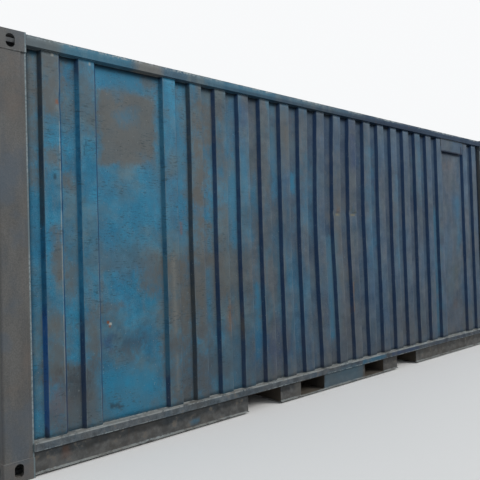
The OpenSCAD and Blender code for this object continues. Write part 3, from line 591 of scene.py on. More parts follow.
def bleached(noisy, x, bright):
    """Weathered paint that is blue where bright is high; returns all that the group gives."""
    cast = bright * 0.62 + cloud(scaled(noisy, (1.6, 1, 0.7)), 1.9, 3) * 0.8
    faded = coat(cloud(scaled(noisy, (2.5, 1, 0.5)), 3.0, 3), rgb(48, 84, 116), rgb(70, 90, 108))
    fresh = coat(between(cast, 0.46, 0.86), faded, BLUE)
    tired = coat(bright, rgb(78, 88, 100), rgb(86, 92, 94))
    return use(weathered, vector=noisy, fresh=fresh, tired=tired, tiredness=between(x, -2.3, -1.2, 0.36, 0.52))


def shaded_valleys(colour, x, z, valley):
    """Painted shade in the narrow valleys between the ribs, where little light reaches; the wide panels are left
    out.
    """
    panel = between(abs(x), 1.90, 1.93) * between(abs(x), 2.41, 2.39)
    narrow = valley * (1.0 - panel)
    valley_shade = narrow * between(x, -1.2, -0.3, 0.15, 1.0) * between(z, 0.5, 2.4, 0.10, 0.65)
    return coat(valley_shade, colour, rgb(24, 52, 80))


def rubbed(colour, noisy, bright):
    """Soft clouds where the blue has been rubbed, then light and dark ones, then brush strokes across."""
    worn = between(cloud(noisy, 3.4, 5, 0.6), 0.40, 0.68) * between(bright, 0.3, 0.9, 0.25, 0.75)
    colour = coat(worn, colour, rgb(88, 106, 112))
    shade = between(cloud(shifted(noisy, (0, 0, 5)), 5.5, 5, 0.62), 0.36, 0.64)
    colour = coat(1.0, colour, coat(shade, (0.82, 0.87, 0.90, 1), (1.22, 1.16, 1.12, 1)), "MULTIPLY")
    strokes = cloud(scaled(noisy, (0.8, 1, 1.5)), 11, 5, 0.7)
    return coat(1.0, colour, between(strokes, 0.3, 0.7, 0.92, 1.08), "MULTIPLY")


print("old coat:", [layer.__name__ for layer in (bleached, shaded_valleys, rubbed)])

# %% [markdown]
# Then come the patches. The flanks of the ribs are painted dark navy, a painted shade, with teal and bare primer
# showing near the front end. Chips along the bends and fine specks are the last marks.

# %% Wall paint: patches, chips and specks
FOOT_SEAM_Z = 0.198


def patched(colour, noisy, x, z, flank):
    grain = cloud(scaled(noisy, (1, 1, 0.4)), 75, 3)
    ragged = cloud(noisy, 9, 4, 0.6) * 0.7 + grain * 0.3
    colour = touched_up(colour, x, z, ragged, wall_rows, brushed=True)
    # painted shade: the rib flanks, found by their normals, get a dark navy, varied place by place by the flank
    # rows
    side = touched_up(rgb(20, 54, 92), x, z, ragged, flank_rows)
    return coat(flank * between(ragged, 0.36, 0.62, 0.66, 0.92), colour, side)


def chipped_bends(colour, noisy, facing, outermost):
    """Chips along the outer bends of the ribs, where the sheet starts to turn its face away."""
    bend = between(facing, 0.04, 0.2) * (1.0 - between(facing, 0.25, 0.75)) * outermost
    chips = bend * between(cloud(scaled(noisy, (1, 1, 0.25)), 24, 4), 0.42, 0.62)
    return coat(chips * 0.55, colour, rgb(118, 132, 138))


def specked(colour, noisy, bright):
    """Nicks down to the dark primer, pale ones where dust has settled, and short scores across."""
    nicks = cloud(shifted(noisy, (2, 0, 0)), 85, 2)
    colour = coat(between(nicks, 0.70, 0.74, 0.0, 0.6), colour, rgb(36, 44, 50))
    colour = coat(between(nicks, 0.31, 0.27, 0.0, 0.45), colour, rgb(140, 150, 152))
    ticks = between(cloud(scaled(noisy, (1, 1, 4.5)), 24, 4, 0.7), 0.55, 0.61)
    scored = between(cloud(shifted(noisy, (0, 0, 2)), 4.5, 3), 0.42, 0.60) * between(bright, 0.35, 0.8, 0.0, 0.6)
    return coat(ticks * scored, colour, rgb(40, 62, 72))


print("marks:", [layer.__name__ for layer in (patched, chipped_bends, specked)])

# %% [markdown]
# One function lays all the layers, because both side walls need them. The far wall is the near
# one turned half round, so turning its coordinates finishes it too. Its noise is taken from
# elsewhere, so that the two walls are not twins.

# %% Wall paint: all layers
HALF_ROUND, ELSEWHERE = (-1, -1, 1), (4.0, 0, 7.0)
RIB_Y, VALLEY_Y = 1.196, 1.174


def wall_paint_material(name, turned):
    material, shader, spot = new_material(name)
    if turned:
        spot = scaled(spot, HALF_ROUND)
    noisy = shifted(spot, ELSEWHERE) if turned else spot
    x, y, z = axes(spot)
    # how much bright blue is left, from the doors towards the front end
    bright = between(x, 0.9, -2.9)
    valley = between(abs(y), RIB_Y, VALLEY_Y)
    facing = abs(axes(source(spot.tree, "ShaderNodeTexCoord", "Normal"))[0])
    base = bleached(noisy, x, bright)
    colour = rubbed(shaded_valleys(base["Color"], x, z, valley), noisy, bright)
    colour = patched(colour, noisy, x, z, between(facing, 0.25, 0.75))
    # the colour is multiplied darker towards the bottom and lighter towards the top
    colour = coat(1.0, colour, between(z, 0.25, 1.7, 0.92, 1.10), "MULTIPLY")
    # the head of each valley is in the dark under the top rail
    colour = coat(valley * between(z, 2.470, 2.515, 0.0, 0.85), colour, rgb(20, 26, 34))
    colour = chipped_bends(colour, noisy, facing, between(abs(y), 1.188, RIB_Y))
    colour = chipped_edges(noisy, colour, [(z, FOOT_SEAM_Z)], 0.012, 0.6)
    colour = specked(colour, noisy, bright)
    rusty = use(rust, vector=noisy, color=colour, amount=0.35, stain=0.10)
    dirty = use(grime, vector=spot, color=rusty["Color"], dust=0.5, splash=0.3)
    fill(shader, {"Base Color": dirty["Color"], "Roughness": base["Roughness"], "Specular IOR Level": 0.25})
    relief(shader, base["Height"] - rusty["Chips"])
    return material


wall_paint = wall_paint_material("wall_paint", False)
far_wall_paint = wall_paint_material("far_wall_paint", True)
for paint in (wall_paint, far_wall_paint):
    print(paint.name, len(paint.node_tree.nodes), "nodes")

# %% [markdown]
# The rails were touched up with the same tins: grey over most of their length, with blue showing
# through near the front. One material serves the top and the bottom rail, and picks by height.

# %% Rail paint: places and old coat
# colour, middle X, middle Z, half width, half height, softness, amount
TOP_RAIL = [
    (rgb(58, 128, 158), -2.42, 2.55, 0.24, 0.20, 0.05, 0.5),
    (rgb(128, 122, 112), -2.02, 2.55, 0.10, 0.20, 0.03, 0.6),
    (BLUE, -1.20, 2.55, 0.35, 0.20, 0.08, 0.4),
    (rgb(106, 112, 112), -2.78, 2.55, 0.14, 0.20, 0.04, 0.7),
]
BOTTOM_RAIL = [
    (rgb(74, 102, 118), -0.02, 0.08, 0.28, 0.08, 0.02, 0.7),
    (BLUE, 0.45, 0.17, 0.20, 0.02, 0.02, 0.5),
    (NAVY, 1.00, 0.17, 0.25, 0.02, 0.02, 0.4),
    (BLUE, -1.72, 0.06, 0.05, 0.02, 0.02, 0.5),
    (RUST, -2.66, 0.10, 0.02, 0.03, 0.02, 0.2),
    (GREY, -0.58, 0.07, 0.10, 0.07, 0.02, 0.5),
]

rail_paint, shader, spot = new_material("rail_paint")
x, _, z = axes(spot)
high = between(z, 1.0, 1.4)
bottom = 1.0 - high
ragged = cloud(spot, 9, 4, 0.6)
middle_on = between(x, 0.9, -0.6)
upper = use(weathered, vector=spot, fresh=coat(middle_on, rgb(34, 56, 80), rgb(68, 98, 118)),
            tired=coat(middle_on, rgb(48, 66, 86), rgb(98, 112, 118)), tiredness=0.5)
forward = between(x, 0.6, -1.6)
lower = use(weathered, vector=shifted(spot, (3, 0, 0)), fresh=coat(forward, rgb(50, 68, 88), rgb(78, 94, 106)),
            tired=coat(forward, rgb(70, 80, 90), rgb(90, 98, 104)), tiredness=0.55)
colour = coat(high, lower["Color"], upper["Color"])
print("patches on the rails:", len(TOP_RAIL) + len(BOTTOM_RAIL))

# %% [markdown]
# The top rail gets its patches and some painted shade, and then the bottom rail is made darker and dirtier than
# the top one: its web stands back under the lip and gets painted shade there, and blotches of dirt and rubbing
# break up its colour.

# %% Rail paint: patches and dirt
colour = touched_up(colour, x, z, ragged, TOP_RAIL)
# painted shade: the top rail has a dark foot in the middle of its length; it also has a light upper half
foot = between(z, 2.552, 2.536, 0.0, 0.5) * between(abs(x), 1.7, 1.1)
colour = coat(foot * high, colour, rgb(20, 40, 62))
colour = coat(between(z, 2.542, 2.566), colour, (1.28, 1.26, 1.24, 1), "MULTIPLY")
# painted shade: the web stands back under the lip, so it is painted dark above and paler below
web = coat(between(z + ragged * 0.08, 0.146, 0.112), rgb(36, 40, 43), rgb(88, 88, 87))
web = coat(between(x, 0.3, 1.5, 0.0, 0.35), web, rgb(94, 92, 86))
colour = coat(between(z, 0.150, 0.138) * 0.8, colour, web)
blotch = cloud(shifted(spot, (0, 0, 4)), 14, 5, 0.65)
colour = coat(bottom, colour, coat(1.0, colour, between(blotch, 0.36, 0.64, 0.72, 1.32), "MULTIPLY"))
colour = coat(between(blotch, 0.56, 0.66, 0.0, 0.55) * bottom, colour, rgb(116, 108, 98))
colour = touched_up(colour, x, z, ragged, BOTTOM_RAIL)
print("rail colour so far:", len(spot.tree.nodes), "nodes")

# %% [markdown]
# Edges lose their paint first. The lip's edge and the flange's foot are rubbed pale, and small
# chips follow every long edge of both rails.

# %% Rail paint: edges
TOP_Z, LIP_Z, WEB_TOP_Z, FLANGE_Z = 2.577, 0.193, 0.146, 0.022
worn_lip = calc("SUBTRACT", 1.0, between(abs(z - LIP_Z), 0.003, 0.009), True)
worn_edge = calc("MAXIMUM", worn_lip, between(z, 0.026, 0.020)) * between(cloud(spot, 16, 5, 0.7), 0.36, 0.54)
colour = coat(worn_edge * 0.8, colour, rgb(172, 178, 178))
colour = chipped_edges(spot, colour, [(z, LIP_Z), (z, WEB_TOP_Z), (z, FLANGE_Z)], 0.007)
colour = chipped_edges(spot, colour, [(z, TOP_Z)], 0.015, 0.9)
rusty = use(rust, vector=spot, color=colour, amount=0.6, stain=0.2)
dirty = use(grime, vector=spot, color=rusty["Color"], dust=0.5, splash=0.25)
fill(shader, {"Base Color": dirty["Color"], "Roughness": upper["Roughness"], "Specular IOR Level": 0.15})
relief(shader, upper["Height"])
print(rail_paint.name, len(rail_paint.node_tree.nodes), "nodes")

# %% [markdown]
# The doors' rods and handles are galvanised, a dull zinc with soft spangle. Plywood and rubber
# finish the floor and the seals.

# %% Zinc, plywood and rubber
zinc, shader, spot = new_material("zinc")
spangle = step("ShaderNodeTexVoronoi", {"Vector": spot, "Scale": 60}, "Color")
grey = coat(axes(spangle)[0], rgb(128, 132, 134), rgb(158, 160, 160))
rusty = use(rust, vector=spot, color=grey, amount=0.7, stain=0.6, scale=1.6)
fill(shader, {"Base Color": use(grime, vector=spot, color=rusty["Color"], dust=0.5, splash=0.4)["Color"],
              "Metallic": calc("SUBTRACT", 0.85, rusty["Chips"] * 0.6, True), "Roughness": 0.48})

plywood, shader, spot = new_material("plywood")
grain = cloud(scaled(spot, (1.2, 26, 26)), 3.2, 6, 0.6)
colour = coat(between(grain, 0.3, 0.7), rgb(96, 66, 44), rgb(134, 98, 66))
colour = coat(between(cloud(spot, 3, 4), 0.45, 0.7), colour, rgb(70, 56, 46))
fill(shader, {"Base Color": colour, "Roughness": 0.75})
relief(shader, grain, 0.0008)

rubber, shader, spot = new_material("rubber")
bloom = between(cloud(spot, 12, 4), 0.35, 0.75)
fill(shader, {"Base Color": coat(bloom, rgb(26, 26, 27), rgb(52, 52, 52)), "Roughness": 0.8})
print("made", zinc.name, plywood.name, rubber.name)

# %% [markdown]
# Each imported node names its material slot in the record, so the paint is given out by slot.

# %% Paint the frame
SLOTS = {"frame_paint": frame_paint, "rail_paint": rail_paint, "wall_paint": wall_paint, "roof_paint": roof_paint,
         "underside_paint": underside_paint, "door_paint": door_paint, "plywood": plywood,
         "gasket_rubber": rubber, "galvanised": zinc}
for sub in frame["record"]["subparts"]:
    skin = frame["nodes"][sub["node"]].data.materials
    skin.clear()
    skin.append(SLOTS[sub["material_slot"]])
for name in ("vent_cover_right", "side_wall_right"):
    frame["nodes"][name].data.materials[0] = far_wall_paint
print("painted", len(frame["nodes"]), "nodes")

# %% [markdown]
# Geometry Nodes trees are built the same way for every use here: named inputs, a chain of nodes,
# Realize Instances and Set Material at the end. make_mesh puts a tree on an object, sets its
# inputs by identifier, and keeps only the finished mesh.

# %% Geometry Nodes helpers
GEOMETRY, MATERIAL, COUNT = "NodeSocketGeometry", "NodeSocketMaterial", "NodeSocketInt"


def geometry_tree(name, inputs):
    """Starts a Geometry Nodes tree; returns it, its inputs and a function that ends it."""
    into = [("Geometry", GEOMETRY), *inputs, ("Material", MATERIAL)]
    tree, came_in, out = new_tree("GeometryNodeTree", name, into, [("Geometry", GEOMETRY)])

    def close(shape):
        real = step("GeometryNodeRealizeInstances", {0: shape})
        link(step("GeometryNodeSetMaterial", {"Geometry": real, "Material": came_in["Material"]}), out[0])

    return tree, came_in, close


def make_mesh(name, base, tree, values, slot, extra=None):
    """Runs a tree on base and returns a plain mesh object that rides on the container."""
    modifier = base.modifiers.new("tree", "NODES")
    modifier.node_group = tree
    for item in tree.interface.items_tree:
        if item.in_out == "INPUT" and item.name in values:
            modifier[item.identifier] = values[item.name]
    if extra:
        extra(base)
    bpy.context.view_layer.update()
    graph = bpy.context.evaluated_depsgraph_get()
    mesh = bpy.data.meshes.new_from_object(base.evaluated_get(graph), depsgraph=graph)
    base.modifiers.clear()
    bpy.data.objects.remove(base)
    mesh.name = name
    made = bpy.data.objects.new(name, mesh)
    scene.collection.objects.link(made)
    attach(made, "root")
    return made


def path_object(name, lines):
    """Poly curves through the given lists of points."""
    curve = bpy.data.curves.new(name, "CURVE")
    curve.dimensions = "3D"
    for points in lines:
        spline = curve.splines.new("POLY")
        spline.points.add(len(points) - 1)
        for target, point in zip(spline.points, points):
            target.co = (*point, 1)
    made = bpy.data.objects.new(name, curve)
    scene.collection.objects.link(made)
    return made


print("a tree is placed by", make_mesh.__name__, "on a mesh or on the lines of", path_object.__name__)

# %% [markdown]
# A container's wall is a flat sheet pressed into ribs, so seen from above it is one long
# zigzag with rolled corners. The zigzag is drawn once by rule, and a Geometry Nodes tree pulls it
# up to the wall's height, because a swept line keeps every rib the same. The tree then pushes the
# sheet about, first with the soft waviness that all thin walls have.

# %% Geometry tree: pressed sheet
DENTS = 10
dent_inputs = []
for i in range(1, DENTS + 1):
    dent_inputs += [("Dent %d" % i, VECTOR, (0, 0, 0)), ("Dent %d Size" % i, VECTOR, (0.1, 0.1, 0))]
sheet_tree, g, close = geometry_tree("pressed_sheet", [
    ("Height", FLOAT, 2.3), ("Rows", COUNT, 48), ("Outward", VECTOR, (0, -1, 0)), ("Wave", FLOAT, 0.0015),
    ("Seed", FLOAT, 1.0), ("Shove", VECTOR, (0, 0, 0)), ("Shove Size", VECTOR, (1, 1, 0)), ("Wander", FLOAT, 0.0),
    *dent_inputs])
riser = step("GeometryNodeCurvePrimitiveLine", {"End": joined(0.0, g["Height"] * -1.0, 0.0)})
steps = step("GeometryNodeResampleCurve", {"Curve": riser, "Count": g["Rows"]})
swept = step("GeometryNodeCurveToMesh", {"Curve": g["Geometry"], "Profile Curve": steps})
place = source(sheet_tree, "GeometryNodeInputPosition")
px, _, pz = axes(place)
wave = cloud(shifted(place, joined(g["Seed"], 0.0, 0.0)), 2.3, 1) - 0.5
push = wave * (g["Wave"] * 2.0)
print("pressed_sheet so far:", len(sheet_tree.nodes), "nodes")

# %% [markdown]
# A dent is a smooth hump that sinks in. A shove moves the sheet along itself instead, which makes
# the ribs lean, and dies out at the wall's four edges, where the sheet is welded.

# %% Pressed sheet: dents and shove


def bell(title):
    """A smooth hump round the point that an input gives, and how high that input wants it."""
    cx, cz, depth = axes(g[title])
    sx, sz, _ = axes(g[title + " Size"])
    u = (px - cx) / sx
    v = (pz - cz) / sz
    return calc("EXPONENT", (u * u + v * v) * -1.0) * depth


def along(direction, amount):
    return step("ShaderNodeVectorMath", {0: direction, "Scale": amount}, operation="SCALE")


for i in range(1, DENTS + 1):
    push = push - bell("Dent %d" % i)
lean = cloud(shifted(scaled(place, (1.3, 1, 0.9)), (0, 0, 3)), 1.1, 1)
shove = bell("Shove") + (lean - 0.5) * g["Wander"]
free = between(pz, 0.20, 0.60) * between(pz, 2.50, 2.25) * between(abs(px), 2.35, 1.60)
sideways = step("ShaderNodeVectorMath", {0: g["Outward"], 1: (0, 0, -1)}, operation="CROSS_PRODUCT")
moved = shifted(along(g["Outward"], push), along(sideways, shove * free))
close(step("GeometryNodeSetPosition", {"Geometry": swept, "Offset": moved}))
print("pressed_sheet:", len(sheet_tree.nodes), "nodes,", DENTS, "dents")

# %% [markdown]
# The bends have a radius of about a centimetre. Each corner of the zigzag becomes a short arc,
# tangent to both legs, and long flats get a few points so that a dent has something to push.

# %% Corrugation path


def rounded(points, radius, steps=4, flat_step=0.03):
    """Rounds the corners of a polyline in the XY plane and divides its long flats."""
    line = [Vector(p) for p in points]
    result = [line[0]]
    for before, corner, after in zip(line, line[1:], line[2:]):
        a, b = (before - corner).normalized(), (after - corner).normalized()
        half = a.angle(b) / 2
        if half > math.pi / 2 - 0.01:
            result.append(corner)
            continue
        back = min(radius / math.tan(half), 0.45 * (before - corner).length, 0.45 * (after - corner).length)
        centre = corner + (a + b).normalized() * back / math.cos(half)
        start, end = corner + a * back - centre, corner + b * back - centre
        for k in range(steps + 1):
            result.append(centre + start.normalized().slerp(end.normalized(), k / steps) * start.length)
    result.append(line[-1])
    divided = [result[0]]
    for p, q in zip(result, result[1:]):
        pieces = max(1, int((q - p).length / flat_step))
        divided += [p.lerp(q, k / pieces) for k in range(1, pieces + 1)]
    return divided


def zigzag(centres, half, flat, slope, outer, inner):
    """Corners of a pressed sheet seen from above: inner level, with a rib at each centre."""
    points = [(-half, inner, 0)]
    for c in centres:
        points += [(c - flat / 2 - slope, inner, 0), (c - flat / 2, outer, 0),
                   (c + flat / 2, outer, 0), (c + flat / 2 + slope, inner, 0)]
    return points + [(half, inner, 0)]


low_wall, high_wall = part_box("side_wall_left")
SHEET, BEND = 0.0016, 0.010
RIB, SLOPE, PITCH = 0.104, 0.018, 0.232
rib_x = [-2.704, -2.472] + [i * PITCH for i in range(-8, 9)] + [2.472, 2.704]
outer_y = low_wall[1] + SHEET / 2
inner_y = high_wall[1] - SHEET / 2
wall_corners = zigzag(rib_x, high_wall[0], RIB, SLOPE, outer_y, inner_y)
wall_line = rounded(wall_corners, BEND)
print("wall from", [round(v, 3) for v in low_wall], "to", [round(v, 3) for v in high_wall])
print(len(rib_x), "ribs,", len(wall_line), "points along them")

# %% [markdown]
# Knocks in handling explain most of the dents: one at the edge of the first rib, and two bruises
# side by side at chest height in the middle. Round them the ribs lean about 3 cm towards the front
# end, so the sheet is also shoved along itself there.

# %% Side walls
near_dents = [
    ((-2.655, 2.23, 0.012), (0.022, 0.050, 0)),
    ((-0.030, 1.59, 0.012), (0.045, 0.022, 0)),
    ((0.205, 1.59, 0.012), (0.050, 0.020, 0)),
    ((-0.030, 2.154, 0.006), (0.035, 0.015, 0)),
    ((-0.350, 1.05, 0.010), (0.110, 0.420, 0)),
    ((-1.340, 0.78, 0.006), (0.040, 0.110, 0)),
    ((-2.150, 1.10, 0.007), (0.160, 0.360, 0)),
    ((1.120, 1.30, 0.006), (0.300, 0.500, 0)),
    ((2.160, 0.90, 0.007), (0.170, 0.400, 0)),
    ((-1.860, 1.18, 0.005), (0.030, 0.060, 0)),
]
far_dents = [((-x, z, d * 0.8), s) for (x, z, d), s in near_dents[4:]] + [((-1.2, 1.7, 0.008), (0.06, 0.03, 0))]


def thicken(base):
    wall = base.modifiers.new("wall", "SOLIDIFY")
    wall.thickness = SHEET
    wall.offset = 0


def sheet_values(height, dents, outward, paint, seed, rows=44, wave=0.0016, shove=(0, 0, 0), wander=0.0):
    values = {"Height": height, "Rows": rows, "Outward": outward, "Wave": wave, "Seed": seed, "Material": paint,
              "Shove": shove, "Shove Size": (0.60, 0.75, 0), "Wander": wander}
    for i, (dent, size) in enumerate(dents, 1):
        values["Dent %d" % i], values["Dent %d Size" % i] = dent, size
    return values


wall_height = high_wall[2] - low_wall[2]
near_line = [(p.x, p.y, low_wall[2]) for p in wall_line]
far_line = [(-p.x, -p.y, low_wall[2]) for p in wall_line]
near_values = sheet_values(wall_height, near_dents, (0, -1, 0), wall_paint, 1.0, rows=64,
                           shove=(-0.02, 1.50, -0.034), wander=0.02)
near_wall = make_mesh("wall_sheet_left", path_object("near_path", [near_line]), sheet_tree, near_values,
                      "wall_paint", thicken)
far_values = sheet_values(wall_height, far_dents, (0, 1, 0), far_wall_paint, 9.0,
                          shove=(-1.1, 1.2, 0.018), wander=0.02)
far_wall = make_mesh("wall_sheet_right", path_object("far_path", [far_line]), sheet_tree, far_values,
                     "wall_paint", thicken)
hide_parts("side_wall_left")
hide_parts("side_wall_right")
for wall in (near_wall, far_wall):
    zs = [v.co.z for v in wall.data.vertices]
    print(wall.name, len(wall.data.polygons), "faces, z", round(min(zs), 3), "to", round(max(zs), 3))

# %% [markdown]
# The front wall is pressed deeper and wider than the side walls. The same tree makes it: its
# path runs across the container, and its sheet is pushed out along -X.

# %% Front wall
low_front, high_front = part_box("front_wall")
FRONT_SHEET, FRONT_BEND = 0.002, 0.012
FRONT_RIB, FRONT_SLOPE, FRONT_PITCH = 0.107, 0.018, 0.250
front_zigzag = zigzag([i * FRONT_PITCH for i in range(-4, 5)], high_front[1], FRONT_RIB, FRONT_SLOPE,
                      low_front[0] + FRONT_SHEET / 2, high_front[0] - FRONT_SHEET / 2)
front_line = [(p.y, p.x, low_front[2]) for p in rounded(front_zigzag, FRONT_BEND)]
front_dents = [((low_front[0], 1.1, 0.006), (1.0, 0.30, 0)), ((low_front[0], 2.0, 0.004), (1.0, 0.25, 0))]
front_values = sheet_values(high_front[2] - low_front[2], front_dents, (1, 0, 0), door_paint, 5.0,
                            rows=36, wave=0.001)
front = make_mesh("wall_sheet_front", path_object("front_path", [front_line]), sheet_tree, front_values,
                  "wall_paint", thicken)
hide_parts("front_wall")
print(front.name, len(front.data.polygons), "faces")

# %% [markdown]
# A weld bead is a row of small ripples that never has quite the same width. The tree lays a ring
# along the line at every step and lets its radius beat with the step number. With no ripple it
# makes a smooth round strip, which is what the doors' rubber lips are.

# %% Geometry tree: bead
bead_tree, g, close = geometry_tree("bead", [
    ("Step", FLOAT, 0.008), ("Radius", FLOAT, 0.004), ("Ripple", FLOAT, 0.3), ("Sides", COUNT, 6)])
even = step("GeometryNodeResampleCurve", {"Curve": g["Geometry"], "Length": g["Step"]}, mode="LENGTH")
beat = calc("SINE", source(bead_tree, "GeometryNodeInputIndex") * 2.3)
wander = cloud(source(bead_tree, "GeometryNodeInputPosition"), 35, 2) - 0.5
uneven = beat * 0.4 + wander * 3.0
ring = step("GeometryNodeCurvePrimitiveCircle", {"Resolution": g["Sides"], "Radius": 1.0})
strung = step("GeometryNodeCurveToMesh", {"Curve": even, "Profile Curve": ring, "Fill Caps": True,
                                          "Scale": g["Radius"] * (1.0 + uneven * g["Ripple"])})
close(step("GeometryNodeSetShadeSmooth", {"Geometry": strung}))
print("bead:", len(bead_tree.nodes), "nodes")

# %% [markdown]
# The corners are worked out in two numbers: a, the way in from the end, and b, the way in from
# the side. One list of lines then serves all four corners. The first beads join the walls to the
# rails, along the zigzag at the foot and the head of each sheet.

# %% Weld lines on the walls
HALF_L, HALF_W, HEIGHT = cad_box[1]
SIDES = (-1, 1)
CORNERS = [(end, side) for end in SIDES for side in SIDES]
INTO_WALL = 0.001


def at_corner(end, side, points):
    return [(end * (HALF_L - a), side * (HALF_W - b), z) for a, b, z in points]


wall_lines = []
for line in (near_line, far_line):
    for z in (low_wall[2] + INTO_WALL, high_wall[2] - INTO_WALL):
        wall_lines.append([(x, y, z) for x, y, _ in line])
for z in (low_front[2] + INTO_WALL, high_front[2] - INTO_WALL):
    wall_lines.append([(x, y, z) for x, y, _ in front_line])
print(len(wall_lines), "weld lines on the walls")

# %% [markdown]
# On the frame, beads run round the posts where they meet the castings, up the ends of the rails,
# and round the vent covers. A bead's middle lies in the joint, a few millimetres in from the outer
# faces. A pressed post is rounded at the corner, and a built-up one has a fold before the door.

# %% Weld lines on the frame
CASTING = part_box("casting_bottom_front_left")[1][2]
CASTING_LENGTH, IN = 0.178, 0.003
RAIL_ENDS = ((0.150, 0.195), (2.520, 2.580))
DOOR_POST_JOINT = (0.043, 0.0505)
UNWELDED_FOOT = 0.06
PRESSED_POST = [(0.148, IN), (0.017, IN), (0.007, 0.007), (IN, 0.017), (IN, 0.126)]
BUILT_POST = [(0.148, IN), (0.056, IN), (0.056, 0.050)]
frame_lines = []
for end, side in CORNERS:
    post = PRESSED_POST if end < 0 else BUILT_POST
    for z in (CASTING, HEIGHT - CASTING):
        frame_lines.append(at_corner(end, side, [(a, b, z) for a, b in post]))
    for rail_z in RAIL_ENDS:
        frame_lines.append(at_corner(end, side, [(CASTING_LENGTH, IN, z) for z in rail_z]))
for side in SIDES:
    for sill_or_header in (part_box("door_sill"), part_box("door_header")):
        frame_lines.append(at_corner(1, side, [(*DOOR_POST_JOINT, corner[2]) for corner in sill_or_header]))
    vent = "vent_cover_left" if side < 0 else "vent_cover_right"
    (left_x, y_low, foot_z), (right_x, y_high, head_z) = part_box(vent)
    face_y = side * max(abs(y_low), abs(y_high))
    foot_z = foot_z + UNWELDED_FOOT
    rim = [(left_x, foot_z), (left_x, head_z), (right_x, head_z), (right_x, foot_z)]
    frame_lines.append([(x, face_y, z) for x, z in rim])
print(len(frame_lines), "weld lines on the frame")

# %% [markdown]
# On the roof, beads run along both edges of the sheet, across it where two sheets meet, and round
# the corner plates. The sheets meet on a ridge between two troughs.

# %% Weld lines on the roof
EDGE_X, EDGE_IN, EDGE_Z = 2.85, 0.009, 2.5812
TROUGH_PITCH, JOINT_Y, JOINT_Z = 0.21208, 1.205, 2.582
PLATE, PLATE_Z = [(0.180, 0.270), (0.330, 0.270), (0.330, 0.012)], 2.5835
roof_lines = [[(end * EDGE_X, side * (HALF_W - EDGE_IN), EDGE_Z) for end in SIDES] for side in SIDES]
for joint in (-8, -3, 2, 7):
    roof_lines.append([((joint + 0.5) * TROUGH_PITCH, side * JOINT_Y, JOINT_Z) for side in SIDES])
roof_lines += [at_corner(end, side, [(a, b, PLATE_Z) for a, b in PLATE]) for end, side in CORNERS]
print(len(roof_lines), "weld lines on the roof")

# %% [markdown]
# All the lines are now swept into beads, one piece for each kind of place, in its paint.

# %% Weld beads
# name, lines, radius, slot
for name, lines, radius, slot in (("welds_walls", wall_lines, 0.0038, "rail_paint"),
                                  ("welds_frame", frame_lines, 0.0042, "frame_paint"),
                                  ("welds_roof", roof_lines, 0.0030, "roof_paint")):
    welds = make_mesh(name, path_object(name + "_path", lines), bead_tree,
                      {"Step": 0.009, "Radius": radius, "Ripple": 0.3, "Material": SLOTS[slot]}, slot)
    print(name, len(lines), "lines,", len(welds.data.polygons), "faces")

# %% [markdown]
# The lips of the door gaskets bulge out of the gap round the leaves. The pair of leaves has one
# outline, and a straight strip closes the joint between them.

# %% Rubber lips
LIP, LIP_BACK = 0.006, 0.022
leaf_low, leaf_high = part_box("door_leaf_left")
outer, low_lip, high_lip = -leaf_low[1] + LIP, leaf_low[2] - LIP, leaf_high[2] + LIP
lip_x = leaf_high[0] - LIP_BACK
outline = [(lip_x, y, z) for y, z in ((-outer, low_lip), (outer, low_lip), (outer, high_lip),
                                      (-outer, high_lip), (-outer, low_lip))]
joint_line = [(lip_x, 0, low_lip), (lip_x, 0, high_lip)]
lips = make_mesh("gasket_lips", path_object("lip_path", [outline, joint_line]), bead_tree,
                 {"Step": 0.06, "Radius": 0.0068, "Ripple": 0.0, "Sides": 10, "Material": rubber}, "gasket_rubber")
print(lips.name, len(lips.data.polygons), "faces")

# %% [markdown]
# Bolts hold the rod brackets and the hinge blades to the leaves. Each is a head on a washer,
# turned to a different angle, and the tree sets one at each vertex that it is given.

# %% Geometry tree: bolts
bolt_tree, g, close = geometry_tree("bolts", [
    ("Radius", FLOAT, 0.0065), ("Head", FLOAT, 0.005), ("Washer", FLOAT, 0.0015), ("Axis", VECTOR, (1, 0, 0)),
    ("Seed", COUNT, 3)])


def disc(sides, radius, depth, lift):
    """A low cylinder that starts at the given lift above the face."""
    made = step("GeometryNodeMeshCylinder", {"Vertices": sides, "Radius": radius, "Depth": depth})
    return step("GeometryNodeTransform", {"Geometry": made, "Translation": joined(0.0, 0.0, depth * 0.5 + lift)})


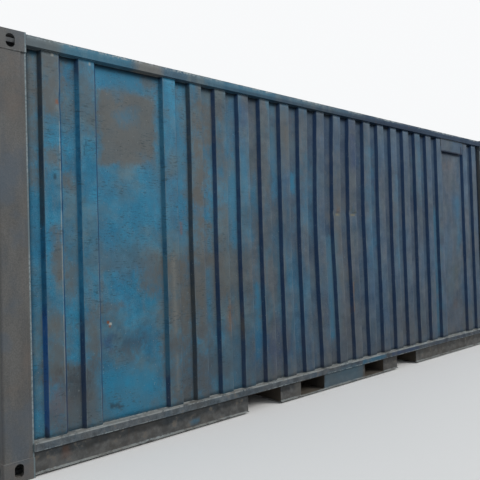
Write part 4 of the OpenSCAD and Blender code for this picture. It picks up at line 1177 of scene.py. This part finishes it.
head = disc(6, g["Radius"], g["Head"], g["Washer"])
washer = disc(16, g["Radius"] * 1.6, g["Washer"], 0.0)
both = step("GeometryNodeJoinGeometry", {0: head})
link(washer, both.socket.node.inputs[0])
aim = step("FunctionNodeAlignRotationToVector", {"Vector": g["Axis"]})
spin = step("FunctionNodeRandomValue", {3: 1.05, "Seed": g["Seed"]}, 1)
spun = step("FunctionNodeRotateRotation", {0: aim, 1: joined(0.0, 0.0, spin)}, rotation_space="LOCAL")
close(step("GeometryNodeInstanceOnPoints", {"Points": g["Geometry"], "Instance": both, "Rotation": spun}))
print("bolts:", len(bolt_tree.nodes), "nodes")

# %% [markdown]
# The places follow from a leaf's box. Each bracket has four bolts round the rod, and each hinge
# blade has two pairs above each other.

# %% Bolts
ROD_Y, BRACKET_HALF, BRACKET_THICK = (0.150, 0.700), 0.027, 0.003
BLADE_Y, BLADE_HALF, BLADE_THICK = (1.095, 1.130), 0.016, 0.008
HINGES, TO_BRACKET, TO_HINGE = 4, 0.075, 0.190
leaf_face, leaf_foot, leaf_head = leaf_high[0], leaf_low[2], leaf_high[2]
leaf_h = leaf_head - leaf_foot
bracket_z = [leaf_foot + TO_BRACKET, leaf_foot + leaf_h * 0.3, leaf_foot + leaf_h * 0.68, leaf_head - TO_BRACKET]
bracket_bolts = [(leaf_face + BRACKET_THICK, side * y + dy, z + dz)
                 for side in SIDES for y in ROD_Y for z in bracket_z
                 for dy in (-BRACKET_HALF, BRACKET_HALF) for dz in (-BRACKET_HALF, BRACKET_HALF)]
hinge_z = [leaf_foot + TO_HINGE + i * (leaf_h - 2 * TO_HINGE) / (HINGES - 1) for i in range(HINGES)]
hinge_bolts = [(leaf_face + BLADE_THICK, side * y, z + dz)
               for side in SIDES for y in BLADE_Y for z in hinge_z for dz in (-BLADE_HALF, BLADE_HALF)]
# name, places, radius, metal, slot
for name, spots, radius, metal, slot in (("bracket_bolts", bracket_bolts, 0.0060, zinc, "galvanised"),
                                         ("hinge_bolts", hinge_bolts, 0.0065, door_paint, "door_paint")):
    bolts = make_mesh(name, mesh_object(name + "_spots", spots, []), bolt_tree,
                      {"Radius": radius, "Material": metal}, slot)
    print(name, len(spots), "bolts,", len(bolts.data.polygons), "faces")
